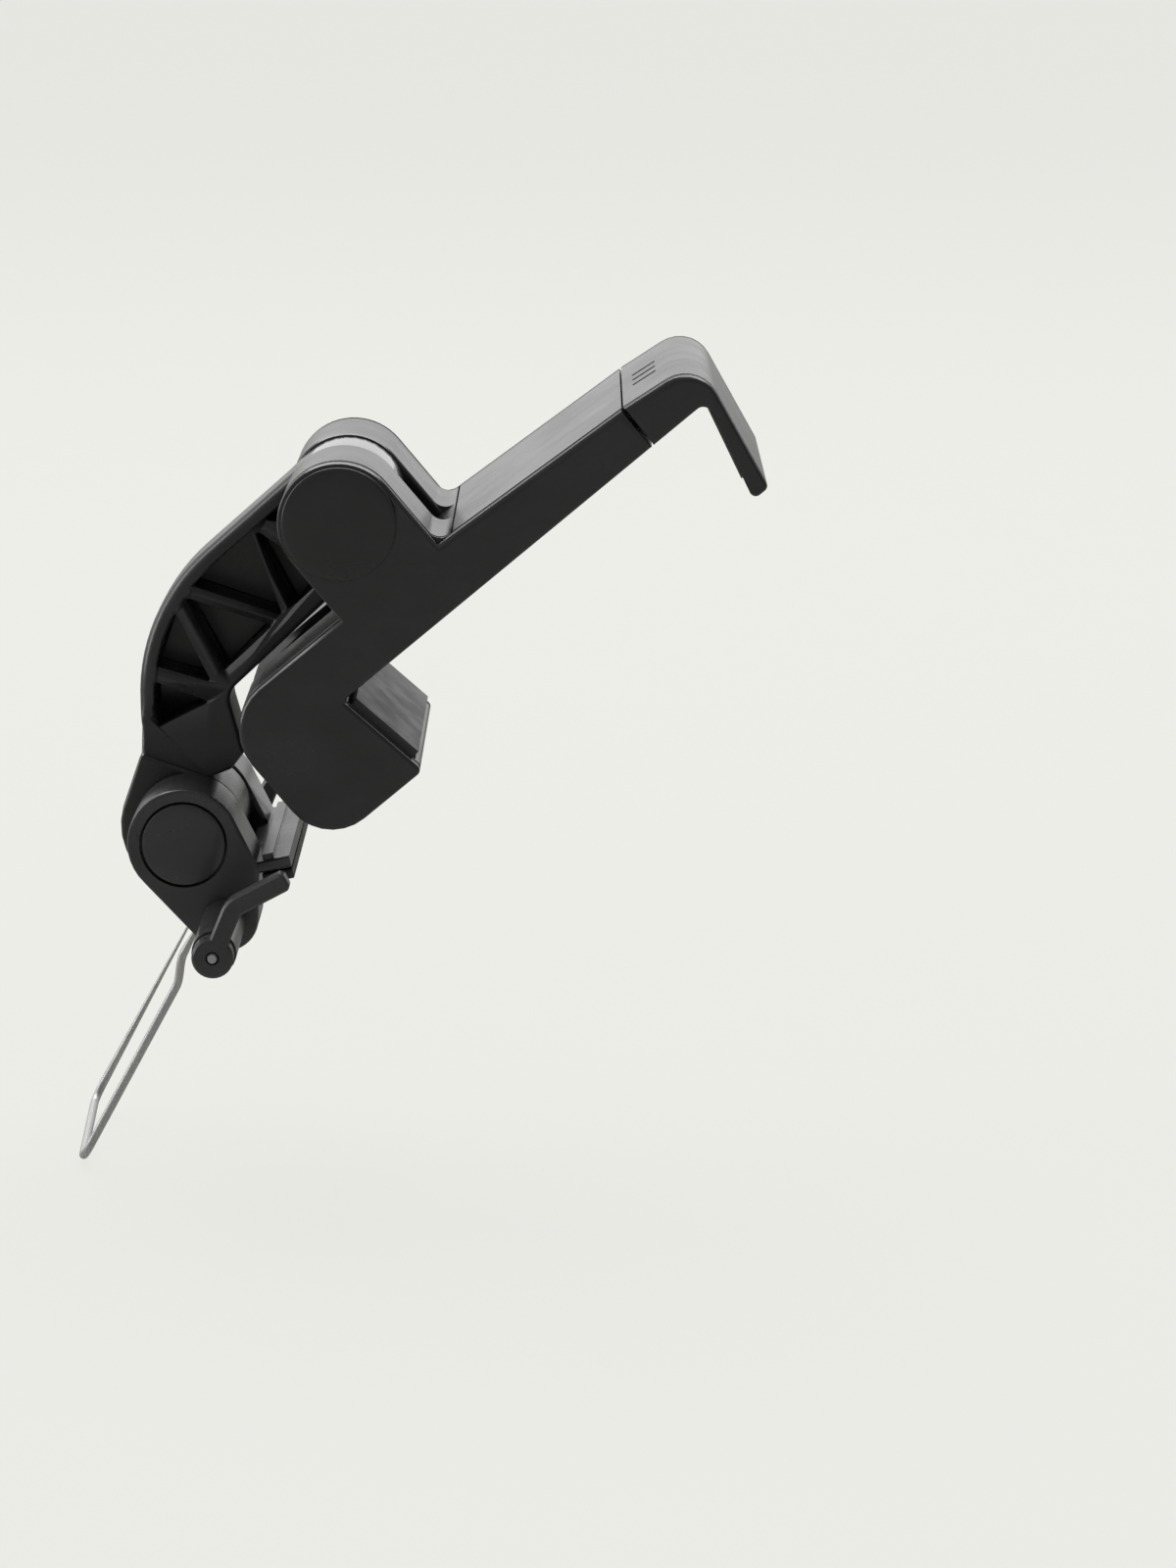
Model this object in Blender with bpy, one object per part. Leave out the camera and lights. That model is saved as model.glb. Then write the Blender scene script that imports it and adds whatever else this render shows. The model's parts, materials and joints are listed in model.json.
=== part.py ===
"""A clip that holds a phone above its host, on a short truss arm.

A saddle with a rubber foot sits on the front edge of the host, two claws on a long pin
grip the edge, and a wire bail swings under it. A boomerang-shaped truss arm stands on the
saddle. It carries the phone clamp, whose upper jaw slides out against two springs.

Frame: origin at the middle of the foot's underside, +X towards the user, +Y across the
clip, +Z up. Side outlines are drawn in X and Z and run across the clip along Y. Each
moving group is drawn about its own hinge and hangs on an empty that stands on that hinge.
"""
import math

import bmesh
import bpy
from mathutils import Matrix, Vector

# Running clearance between pieces that touch or slide
GAP = 0.0003
# Overlap given to shapes that are joined, and to cutters that break a surface
BITE = 0.0008
# Rounding along the rims of the moulded pieces
EDGE = 0.0005
ROUND_STEPS = 40

# Saddle
SEAT_REACH = 0.0116
SEAT_DROP = 0.0050
SEAT_TILT = math.radians(12.0)
SADDLE_WIDTH = 0.0320
SADDLE_EAR_RADIUS = 0.0072
SADDLE_SLOT = 0.0122
SADDLE_TOE_RADIUS = 0.0043
FOOT_LENGTH = 0.0048
FOOT_THICKNESS = 0.0015
FOOT_PAD_THICKNESS = 0.0012
FOOT_PAD_LENGTH = 0.0039
LIP_WIDTH = 0.0014
LIP_HEIGHT = 0.0007

# Claws and the pin that they turn on
PIN_REACH = 0.00505
PIN_DROP = 0.00978
PIN_RADIUS = 0.0007
BARREL_RADIUS = 0.0028
CLAW_THICKNESS = 0.0024
CLAW_SPREAD = 0.0702
CLAW_EYE_RADIUS = 0.0026
CLAW_WIDTH = 0.0024
CLAW_RISE = 0.0063
CLAW_ELBOW_LEAN = 0.0026
CLAW_FINGER = 0.0076
CLAW_FINGER_SLOPE = math.radians(28.0)

# Wire bail
WIRE_RADIUS = 0.00043
BAIL_SPAN = 0.0260
BAIL_LENGTH = 0.0385
BAIL_LEAN = math.radians(28.5)
BAIL_EYE_RADIUS = 0.0024
BAIL_CORNER = 0.0026
BAIL_JOG = 0.0012
BAIL_JOG_START = 0.0071
BAIL_JOG_LENGTH = 0.0047
BAIL_SWING_BACK = math.radians(25.0)
BAIL_SWING_IN = math.radians(70.0)

# Truss arm, drawn with its hinge-to-hinge line along local X
ARM_LEAN = math.radians(63.95)
ARM_THICKNESS = 0.0090
ARM_WEB = 0.0025
ARM_BOW = 0.0156
SPINE_RADIUS = 0.0253
CHORD_WIDTH = 0.0020
RIB_WIDTH = 0.0014
KNUCKLE_RADIUS = 0.0074
KNUCKLE_THICKNESS = 0.0086
BOSS_RADIUS = 0.0070
BOSS_THICKNESS = 0.0116
HEEL_RADIUS = 0.0090
HEEL_START = math.radians(86.0)
HEEL_END = math.radians(151.0)
LEDGE_ALONG = 0.0054
LEDGE_OUT = 0.0092
ELBOW_ALONG = 0.0176
ELBOW_OUT = 0.0031
ELBOW_FILLET = 0.0026
SHOULDER_ALONG = 0.0116
SHOULDER_IN = 0.0022
NECK_ALONG = 0.0088
NECK_IN = 0.0016
INNER_CHORD_WIDTH = 0.0024
POCKET_ROUND = 0.00025

# Phone clamp, drawn with the phone's face along local X
CLAMP_LEAN = math.radians(39.8)
CLAMP_WIDTH = 0.0400
FACE_DROP = 0.0174
BACK_DROP = 0.0093
ARM_RECESS = 0.0016
SEAM_DROP = 0.0115
SEAM_ALONG = 0.0360
GRIP_ALONG = 0.0142
HEEL_ALONG = 0.0283
JAW_REACH = 0.0132
JAW_HEEL_ROUND = 0.0064
BACK_HEEL_ROUND = 0.0070
CLAMP_EAR_RADIUS = 0.0077
EAR_FILLET = 0.0020
BACK_ROUND = 0.0010
GROOVE_DEPTH = 0.0004
WALL = 0.0014
COVER_THICKNESS = 0.0011

# Sliding jaw
JAW_TRAVEL = 0.0300
HOOK_RUN = 0.0112
HOOK_WALL = 0.0025
HOOK_LEAN = 0.0033
HOOK_ROUND = 0.0044
HOOK_FILLET = 0.0011
SHOULDER_DROP = 0.0128
TONGUE_WIDTH = 0.0180
TONGUE_THICKNESS = 0.0014
LUG_LENGTH = 0.0060
LUG_SPREAD = 0.0284
SPRING_SPREAD = 0.0236
SPRING_RADIUS = 0.0011
SPRING_WIRE = 0.00022
SPRING_TURNS = 13
POST_RADIUS = 0.0006
MARK_COUNT = 3
MARK_LENGTH = 0.0034
MARK_WIDTH = 0.0011
MARK_PITCH = 0.0045
MARK_DEPTH = 0.0005

# Rubber grips
GRIP_PAD_THICKNESS = 0.0016
GRIP_PAD_INSET = 0.0020
HOOK_PAD_THICKNESS = 0.0011
BACK_PAD_THICKNESS = 0.0010
BACK_PAD_WIDTH = 0.0230
BACK_PAD_LENGTH = 0.0340

# Hinge hardware: an M3 screw below, an M4 screw above
LOWER_SHANK = 0.0015
LOWER_HEAD = 0.0029
LOWER_NUT_FLATS = 0.0055
LOWER_CAP_RADIUS = 0.0053
UPPER_SHANK = 0.0020
UPPER_HEAD = 0.0035
UPPER_NUT_FLATS = 0.0070
UPPER_CAP_RADIUS = 0.0066
CAP_THICKNESS = 0.0011
CAP_DOME = 0.0004
HEAD_HEIGHT = 0.0025
NUT_HEIGHT = 0.0025
WASHER_THICKNESS = 0.0006
COVER_SCREW_RADIUS = 0.0007
COVER_SCREW_HEAD = 0.0015


def clear_scene():
    """Start from an empty scene."""
    for item in list(bpy.data.objects):
        bpy.data.objects.remove(item, do_unlink=True)


def material(name, colour, roughness, metallic=0.0):
    """One Principled material."""
    made = bpy.data.materials.new(name)
    made.use_nodes = True
    shader = made.node_tree.nodes["Principled BSDF"]
    shader.inputs["Base Color"].default_value = (*colour, 1.0)
    shader.inputs["Roughness"].default_value = roughness
    shader.inputs["Metallic"].default_value = metallic
    made.diffuse_color = (*colour, 1.0)
    return made


def frame(name, place, lean=0.0, parent=None):
    """An empty at a hinge. Its local X leans up from level by the given angle."""
    empty = bpy.data.objects.new(name, None)
    bpy.context.collection.objects.link(empty)
    empty.empty_display_size = 0.01
    empty.location = place
    empty.rotation_euler = (0.0, -lean, 0.0)
    empty.parent = parent
    return empty


def put(name, bm, finish, parent, smooth=True):
    """Turn a bmesh into an object that hangs on its hinge's empty."""
    bmesh.ops.recalc_face_normals(bm, faces=bm.faces)
    mesh = bpy.data.meshes.new(name)
    bm.to_mesh(mesh)
    bm.free()
    if smooth:
        mesh.shade_smooth()
        mesh.set_sharp_from_angle(angle=math.radians(35.0))
    made = bpy.data.objects.new(name, mesh)
    made.data.materials.append(finish)
    made.parent = parent
    bpy.context.collection.objects.link(made)
    return made


def combine(target, operation, tools):
    """Join shapes to an object, or cut them from it, with live Boolean modifiers."""
    for number, bm in enumerate(tools):
        tool = put(f"{target.name}_{operation.lower()}_{number}", bm, target.data.materials[0], target.parent)
        tool.hide_render = True
        tool.display_type = "WIRE"
        modifier = target.modifiers.new(tool.name, "BOOLEAN")
        modifier.operation = operation
        modifier.object = tool
        modifier.solver = "EXACT"


def arc(centre, radius, start, end, steps):
    """Points on an arc, both ends included. Angles in radians."""
    turns = [start + (end - start) * step / steps for step in range(steps + 1)]
    return [(centre[0] + radius * math.cos(t), centre[1] + radius * math.sin(t)) for t in turns]


def circle(centre, radius, steps=ROUND_STEPS):
    """A round outline."""
    return arc(centre, radius, 0.0, 2.0 * math.pi, steps)[:-1]


def rounded(corners, steps=5):
    """An outline from (x, z, radius) corners, each rounded by an arc that is tangent to its sides."""
    outline = []
    count = len(corners)
    for index, (x, z, radius) in enumerate(corners):
        here = Vector((x, z))
        before = (Vector(corners[index - 1][:2]) - here).normalized()
        after = (Vector(corners[(index + 1) % count][:2]) - here).normalized()
        if radius <= 0.0:
            outline.append((x, z))
            continue
        half = before.angle(after) / 2.0
        run = radius / math.tan(half)
        centre = here + (before + after).normalized() * (radius / math.sin(half))
        first = here + before * run - centre
        last = here + after * run - centre
        start = math.atan2(first.y, first.x)
        sweep = math.atan2(last.y, last.x) - start
        sweep = (sweep + math.pi) % (2.0 * math.pi) - math.pi
        outline += arc(centre, radius, start, start + sweep, steps)
    return outline


def hull(circles, steps=ROUND_STEPS):
    """The taut outline round a set of (x, z, radius) discs."""
    points = sorted({p for x, z, r in circles for p in circle((x, z), r, steps)})
    sides = []
    for ordered in (points, points[::-1]):
        side = []
        for p in ordered:
            while len(side) > 1 and turn(side[-2], side[-1], p) <= 0.0:
                side.pop()
            side.append(p)
        sides += side[:-1]
    return sides


def turn(a, b, c):
    """Positive where a, b, c turn to the left."""
    return (b[0] - a[0]) * (c[1] - a[1]) - (b[1] - a[1]) * (c[0] - a[0])


def crossing(a, b, c, d):
    """Where the line through a and b meets the line through c and d."""
    first = (b[0] - a[0], b[1] - a[1])
    second = (d[0] - c[0], d[1] - c[1])
    across = first[0] * second[1] - first[1] * second[0]
    share = ((c[0] - a[0]) * second[1] - (c[1] - a[1]) * second[0]) / across
    return a[0] + share * first[0], a[1] + share * first[1]


def beside(a, b, distance):
    """The line from a to b, moved to its left by a distance."""
    length = math.hypot(b[0] - a[0], b[1] - a[1])
    shift = (-(b[1] - a[1]) / length * distance, (b[0] - a[0]) / length * distance)
    return (a[0] + shift[0], a[1] + shift[1]), (b[0] + shift[0], b[1] + shift[1])


def prism(outline, low, high, edge=0.0, steps=1):
    """A side outline run across the clip from y = low to y = high, its rims rounded by edge."""
    bm = bmesh.new()
    ring = [bm.verts.new((x, low, z)) for x, z in outline]
    base = bm.faces.new(ring)
    grown = bmesh.ops.extrude_face_region(bm, geom=[base])
    moved = [item for item in grown["geom"] if isinstance(item, bmesh.types.BMVert)]
    bmesh.ops.translate(bm, vec=(0.0, high - low, 0.0), verts=moved)
    if edge:
        rims = [e for e in bm.edges if abs(e.verts[0].co.y - e.verts[1].co.y) < 1e-9]
        bmesh.ops.bevel(bm, geom=rims, offset=edge, segments=steps, profile=0.5, affect="EDGES", clamp_overlap=True)
    bmesh.ops.recalc_face_normals(bm, faces=bm.faces)
    return bm


def shifted(outline, distances):
    """A closed outline whose points move into the shape, square to its sides, each by its own distance."""
    count = len(outline)
    area = sum(turn((0.0, 0.0), outline[index - 1], outline[index]) for index in range(count))
    side = math.copysign(1.0, area)
    points = []
    for index, distance in enumerate(distances):
        here = Vector(outline[index])
        before = (here - Vector(outline[index - 1])).normalized()
        after = (Vector(outline[(index + 1) % count]) - here).normalized()
        inward = Vector((-before.y - after.y, before.x + after.x)).normalized() * side
        mitre = inward.dot(Vector((-after.y, after.x)) * side)
        point = here + inward * distance / mitre
        points.append((point.x, point.y))
    return points


def soft_prism(outline, low, high, rims, steps=3):
    """A prism across the clip whose two rims are rounded, each point by its own radius in rims."""
    bm = bmesh.new()
    rings = []
    for end, inward in ((low, 1.0), (high, -1.0)):
        turns = [math.pi / 2.0 * step / steps for step in range(steps + 1)]
        for angle in turns if end == low else turns[::-1]:
            inset = shifted(outline, [radius * (1.0 - math.sin(angle)) for radius in rims])
            lifts = [end + inward * radius * (1.0 - math.cos(angle)) for radius in rims]
            rings.append([bm.verts.new((x, y, z)) for (x, z), y in zip(inset, lifts)])
    bm.faces.new(rings[0])
    bm.faces.new(rings[-1])
    count = len(outline)
    for one, two in zip(rings, rings[1:]):
        for index in range(count):
            bm.faces.new((one[index - 1], one[index], two[index], two[index - 1]))
    bmesh.ops.recalc_face_normals(bm, faces=bm.faces)
    return bm


def both_sides(make):
    """The same shape on the near side (-1) and on the far side (+1)."""
    return [make(side) for side in (-1, 1)]


def span(side, inner, outer):
    """A stretch along Y on one side of the middle, low end first."""
    return sorted((side * inner, side * outer))


def turned(profile, steps=ROUND_STEPS, closed=False):
    """A solid of revolution about the Y axis from (radius, y) points. A closed profile makes a ring."""
    bm = bmesh.new()
    rings = []
    for radius, y in profile:
        if radius < 1e-7:
            rings.append([bm.verts.new((0.0, y, 0.0))])
        else:
            rings.append([bm.verts.new((x, y, z)) for x, z in circle((0.0, 0.0), radius, steps)])
    pairs = list(zip(rings, rings[1:]))
    if closed:
        pairs.append((rings[-1], rings[0]))
    for one, two in pairs:
        for step in range(steps):
            following = (step + 1) % steps
            corners = [one[step % len(one)], one[following % len(one)], two[following % len(two)], two[step % len(two)]]
            bm.faces.new(list(dict.fromkeys(corners)))
    bmesh.ops.recalc_face_normals(bm, faces=bm.faces)
    return bm


def moved(bm, x=0.0, z=0.0, tilt=0.0):
    """Shift a shape in the side view, after leaning it up from level by tilt."""
    spin = Matrix.Rotation(-tilt, 4, "Y")
    bmesh.ops.transform(bm, matrix=Matrix.Translation((x, 0.0, z)) @ spin, verts=bm.verts)
    return bm


def tube(name, points, radius, finish, parent, sides=2):
    """A wire along a list of points, with closed ends."""
    curve = bpy.data.curves.new(name, "CURVE")
    curve.dimensions = "3D"
    curve.bevel_depth = radius
    curve.bevel_resolution = sides
    curve.use_fill_caps = True
    spline = curve.splines.new("POLY")
    spline.points.add(len(points) - 1)
    for point, place in zip(spline.points, points):
        point.co = (*place, 1.0)
    curve.materials.append(finish)
    made = bpy.data.objects.new(name, curve)
    made.parent = parent
    bpy.context.collection.objects.link(made)
    return made


# Places on the saddle, measured from the lower hinge
PIN = (PIN_REACH, -PIN_DROP)
SEAT = (SEAT_REACH, -SEAT_DROP)
HINGE_Z = SEAT_DROP
HINGE_X = -SEAT_REACH


def seat_point(along, up):
    """A point given along and square to the tilted foot, from the middle of its underside."""
    return (
        SEAT[0] + along * math.cos(SEAT_TILT) - up * math.sin(SEAT_TILT),
        SEAT[1] + along * math.sin(SEAT_TILT) + up * math.cos(SEAT_TILT),
    )


def box_on_seat(start, end, low, high):
    """A four-sided outline on the tilted foot."""
    return [seat_point(start, low), seat_point(end, low), seat_point(end, high), seat_point(start, high)]


def hinge_cuts(shank, head, flats, cap, outer, inner):
    """The bores of one hinge, from the outer faces of its ears in to the screw's seats."""
    recess = outer - CAP_THICKNESS - GAP
    seat = recess - HEAD_HEIGHT - GAP
    hex_radius = flats / math.sqrt(3.0) + GAP
    cuts = [prism(circle((0.0, 0.0), shank + GAP, 24), -outer - BITE, outer + BITE)]
    for side in (-1, 1):
        cuts.append(prism(circle((0.0, 0.0), cap + GAP), *span(side, recess, outer + BITE)))
    cuts.append(prism(circle((0.0, 0.0), head + GAP), -recess - BITE / 2.0, -seat))
    cuts.append(prism(circle((0.0, 0.0), hex_radius, 6), seat, recess + BITE / 2.0))
    assert seat > inner
    return cuts


def hinge_hardware(prefix, shank, head, flats, cap, outer, parent, steel, plastic):
    """A socket screw from the near side, a hex nut in the far ear and a domed cap over each."""
    recess = outer - CAP_THICKNESS - GAP
    seat = recess - HEAD_HEIGHT - GAP
    start = seat + GAP
    socket = head * 0.5
    profile = [
        (0.0, -start - HEAD_HEIGHT * 0.45), (socket, -start - HEAD_HEIGHT * 0.45), (socket, -start - HEAD_HEIGHT),
        (head - EDGE / 2.0, -start - HEAD_HEIGHT), (head, -start - HEAD_HEIGHT + EDGE / 2.0), (head, -start),
        (shank, -start), (shank, start + NUT_HEIGHT), (0.0, start + NUT_HEIGHT),
    ]
    put(f"{prefix}_hinge_screw", turned(profile, 24), steel, parent)
    nut = prism(circle((0.0, 0.0), flats / math.sqrt(3.0), 6), start, start + NUT_HEIGHT)
    nut_object = put(f"{prefix}_hinge_nut", nut, steel, parent, smooth=False)
    combine(nut_object, "DIFFERENCE", [prism(circle((0.0, 0.0), shank + GAP / 2.0, 24), 0.0, outer)])
    for side, word in ((-1, "near"), (1, "far")):
        inside = side * (recess + GAP)
        rim = side * outer
        crown = side * (outer + CAP_DOME)
        profile = [
            (0.0, inside), (cap - EDGE / 2.0, inside), (cap, inside + side * EDGE / 2.0), (cap, rim - side * GAP),
            (cap - GAP, rim), (cap * 0.6, rim + side * CAP_DOME * 0.7), (0.0, crown),
        ]
        put(f"{prefix}_hinge_cap_{word}", turned(profile), plastic, parent)


def build_saddle(parent, plastic, rubber, steel):
    """Two ears, a cross wall, the foot with its lip, and the barrel that carries the claws' pin."""
    half = SADDLE_WIDTH / 2.0
    slot = SADDLE_SLOT / 2.0
    foot_top = FOOT_PAD_THICKNESS + GAP + FOOT_THICKNESS
    foot_end = FOOT_LENGTH / 2.0
    heel_of_foot = seat_point(-foot_end, FOOT_PAD_THICKNESS + GAP + FOOT_THICKNESS / 2.0)
    ear = hull([(0.0, 0.0, SADDLE_EAR_RADIUS), (*PIN, SADDLE_TOE_RADIUS), (*heel_of_foot, FOOT_THICKNESS / 2.0)])
    saddle = put("saddle", prism(ear, -half, -slot, EDGE, 2), plastic, parent)
    wall = hull([(*PIN, BARREL_RADIUS), (*heel_of_foot, FOOT_THICKNESS / 2.0)], 24)
    reach = CLAW_SPREAD / 2.0 - CLAW_THICKNESS - GAP
    foot = box_on_seat(-foot_end - BITE, foot_end, FOOT_PAD_THICKNESS + GAP, foot_top)
    lip = box_on_seat(-LIP_WIDTH * 0.7, LIP_WIDTH * 0.3, foot_top - BITE, foot_top + LIP_HEIGHT)
    combine(saddle, "UNION", [
        prism(ear, slot, half, EDGE, 2),
        prism(wall, -slot - BITE, slot + BITE),
        prism(circle(PIN, BARREL_RADIUS, 24), -reach, reach),
        prism(foot, -half + EDGE, half - EDGE, EDGE / 2.0),
        prism(lip, -half + 2.0 * EDGE, half - 2.0 * EDGE, EDGE / 2.0),
    ])
    leg = BAIL_SPAN / 2.0
    slot_half = WIRE_RADIUS + GAP
    start = -math.pi / 2.0 - BAIL_LEAN - BAIL_SWING_BACK
    end = -math.pi / 2.0 - BAIL_LEAN + BAIL_SWING_IN
    far = 2.5 * SADDLE_TOE_RADIUS
    clear = BAIL_EYE_RADIUS + WIRE_RADIUS + GAP
    fan = [(*PIN, clear)] + [(*point, clear) for point in arc(PIN, far, start, end, 6)]
    cuts = [prism(circle(PIN, PIN_RADIUS + GAP, 16), -reach - BITE, reach + BITE)]
    cuts += both_sides(lambda side: prism(hull(fan, 20), *span(side, leg - slot_half, leg + slot_half)))
    cuts += hinge_cuts(LOWER_SHANK, LOWER_HEAD, LOWER_NUT_FLATS, LOWER_CAP_RADIUS, half, slot)
    combine(saddle, "DIFFERENCE", cuts)
    pad = box_on_seat(foot_end - FOOT_PAD_LENGTH, foot_end, 0.0, FOOT_PAD_THICKNESS)
    put("foot_pad", prism(pad, -half + EDGE, half - EDGE, GAP), rubber, parent)
    hinge_hardware("lower", LOWER_SHANK, LOWER_HEAD, LOWER_NUT_FLATS, LOWER_CAP_RADIUS, half, parent, steel, plastic)


def build_claws(parent, plastic, steel):
    """Two bent fingers, drawn about their pin, and the pin that ties them together."""
    outer = CLAW_SPREAD / 2.0
    elbow = (CLAW_ELBOW_LEAN, CLAW_RISE)
    tip = (
        elbow[0] + CLAW_FINGER * math.cos(CLAW_FINGER_SLOPE),
        elbow[1] + CLAW_FINGER * math.sin(CLAW_FINGER_SLOPE),
    )
    half = CLAW_WIDTH / 2.0
    rise = beside((0.0, 0.0), elbow, half), beside((0.0, 0.0), elbow, -half)
    run = beside(elbow, tip, half), beside(elbow, tip, -half)
    outside = crossing(*rise[0], *run[0])
    inside = crossing(*rise[1], *run[1])
    finger = rounded([
        (*rise[1][0], 0.0), (*inside, CLAW_WIDTH / 2.0), (*run[1][1], CLAW_WIDTH * 0.3),
        (*run[0][1], CLAW_WIDTH * 0.3), (*outside, CLAW_WIDTH * 1.5), (*rise[0][0], 0.0),
    ], 7)
    for side, word in ((-1, "near"), (1, "far")):
        low, high = span(side, outer - CLAW_THICKNESS, outer)
        claw = put(f"claw_{word}", prism(circle((0.0, 0.0), CLAW_EYE_RADIUS, 32), low, high, GAP), plastic, parent)
        combine(claw, "UNION", [prism(finger, low, high, GAP)])
        combine(claw, "DIFFERENCE", [prism(circle((0.0, 0.0), PIN_RADIUS + GAP / 2.0, 16), low - BITE, high + BITE)])
    crown = outer + GAP
    profile = [(0.0, -crown), (PIN_RADIUS - GAP / 2.0, -crown), (PIN_RADIUS, -outer), (PIN_RADIUS, outer)]
    profile += [(PIN_RADIUS - GAP / 2.0, crown), (0.0, crown)]
    put("claw_pin", turned(profile, 16), steel, parent)


def build_bail(parent, steel):
    """A U of spring wire. Its legs end in open eyes round the pin, and the near leg has a jog."""
    down = Vector((-math.sin(BAIL_LEAN), 0.0, -math.cos(BAIL_LEAN)))
    out = Vector((-math.cos(BAIL_LEAN), 0.0, math.sin(BAIL_LEAN)))

    def place(along, off, y):
        return down * along + out * off + Vector((0.0, y, 0.0))

    half = BAIL_SPAN / 2.0
    first = math.atan2(out.z, out.x)
    eye = arc((0.0, 0.0), BAIL_EYE_RADIUS, first - math.radians(300.0), first, 14)
    near = [Vector((x, -half, z)) for x, z in eye]
    far = [Vector((x, half, z)) for x, z in eye]
    jogged = BAIL_EYE_RADIUS - BAIL_JOG
    bends = BAIL_JOG_LENGTH / 4.0
    near += [
        place(BAIL_JOG_START, BAIL_EYE_RADIUS, -half),
        place(BAIL_JOG_START + bends, BAIL_EYE_RADIUS - BAIL_JOG * 0.15, -half),
        place(BAIL_JOG_START + 3.0 * bends, jogged + BAIL_JOG * 0.15, -half),
        place(BAIL_JOG_START + BAIL_JOG_LENGTH, jogged, -half),
    ]
    corner_near = place(BAIL_LENGTH, jogged, -half)
    corner_far = place(BAIL_LENGTH, BAIL_EYE_RADIUS, half)
    path = near + fillet(near[-1], corner_near, corner_far, BAIL_CORNER, 6)
    path += fillet(corner_near, corner_far, far[-1], BAIL_CORNER, 6)
    path += far[::-1]
    tube("wire_bail", path, WIRE_RADIUS, steel, parent)


def fillet(before, corner, after, radius, steps):
    """Points of an arc that rounds a corner in space."""
    one = (before - corner).normalized()
    two = (after - corner).normalized()
    half = one.angle(two) / 2.0
    centre = corner + (one + two).normalized() * (radius / math.sin(half))
    first = corner + one * (radius / math.tan(half)) - centre
    last = corner + two * (radius / math.tan(half)) - centre
    sweep = first.angle(last)
    points = []
    for step in range(steps + 1):
        share = step / steps
        points.append(centre + (first * math.sin((1.0 - share) * sweep) + last * math.sin(share * sweep)) / math.sin(sweep))
    return points


# The clamp's heel, as it swings round, sets how long the arm must be to pass the saddle's ears
HEEL_SWEEP = math.hypot(HEEL_ALONG - JAW_HEEL_ROUND, FACE_DROP + JAW_REACH - JAW_HEEL_ROUND) + JAW_HEEL_ROUND
ARM_LENGTH = HEEL_SWEEP + SADDLE_EAR_RADIUS + GAP
SPINE_CENTRE = (ARM_LENGTH / 2.0, ARM_BOW - SPINE_RADIUS)
TANGENT = math.acos((SPINE_RADIUS - KNUCKLE_RADIUS) / math.hypot(ARM_LENGTH / 2.0, SPINE_CENTRE[1]))
TANGENT += math.atan2(-SPINE_CENTRE[1], ARM_LENGTH / 2.0)


def spine_point(along, inset=0.0):
    """The outer edge of the arm, or a line set in from it, at a distance along the arm."""
    radius = SPINE_RADIUS - inset
    leaves = SPINE_CENTRE[0] + radius * math.cos(TANGENT)
    if along <= leaves:
        side = along - SPINE_CENTRE[0]
        return along, SPINE_CENTRE[1] + math.sqrt(radius * radius - side * side)
    height = SPINE_CENTRE[1] + radius * math.sin(TANGENT)
    return along, height - (along - leaves) / math.tan(TANGENT)


def inner_edges(inset=0.0):
    """The two straight inner edges: shoulder to elbow, and elbow to a tangent of the knuckle."""
    shoulder = (SHOULDER_ALONG, -SHOULDER_IN)
    elbow = (ELBOW_ALONG, ELBOW_OUT)
    run = ARM_LENGTH - elbow[0]
    fall = math.atan2(-elbow[1], run) - math.asin(KNUCKLE_RADIUS / math.hypot(run, elbow[1]))
    end = (ARM_LENGTH, elbow[1] + run * math.tan(fall))
    return beside(shoulder, elbow, inset), beside(elbow, end, inset), fall


def inner_point(along, inset=0.0):
    """The inner edge of the arm, or a line set in from it, at a distance along the arm."""
    heights = []
    for start, end in inner_edges(inset)[:2]:
        heights.append(start[1] + (along - start[0]) * (end[1] - start[1]) / (end[0] - start[0]))
    return along, min(heights)


def arm_outline():
    """The boomerang of the truss: spine, knuckle, elbow, shoulder and the neck inside the boss."""
    lower = math.acos((NECK_ALONG - SPINE_CENTRE[0]) / SPINE_RADIUS)
    spine = arc(SPINE_CENTRE, SPINE_RADIUS, lower, TANGENT, 16)
    knuckle = arc((ARM_LENGTH, 0.0), KNUCKLE_RADIUS, TANGENT, inner_edges()[2] - math.pi / 2.0, 18)
    underside = rounded([
        (*knuckle[-1], 0.0), (ELBOW_ALONG, ELBOW_OUT, ELBOW_FILLET),
        (SHOULDER_ALONG, -SHOULDER_IN, CHORD_WIDTH / 3.0), (NECK_ALONG, -NECK_IN, CHORD_WIDTH / 2.0),
        (LEDGE_ALONG, NECK_IN, 0.0), (LEDGE_ALONG - CHORD_WIDTH, LEDGE_OUT - EDGE, 0.0),
    ], 7)
    return spine + knuckle + underside[1:]


# Corners of the five pockets, as distances along the outer and along the inner chord
POCKETS = (
    ((0.0096, 0.0150), (0.0157,)),
    ((0.0169, 0.0244), (0.0181,)),
    ((0.0267,), (0.0283, 0.0202)),
    ((0.0284, 0.0382), (0.0300,)),
    ((0.0386,), (0.0370, 0.0317)),
)
# The sixth pocket, a small nook in front of the knuckle
NOOK_START = 0.0401
NOOK_END = 0.0440
NOOK_LEAN = 0.0008
NOOK_HEIGHT = 0.0024


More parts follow.
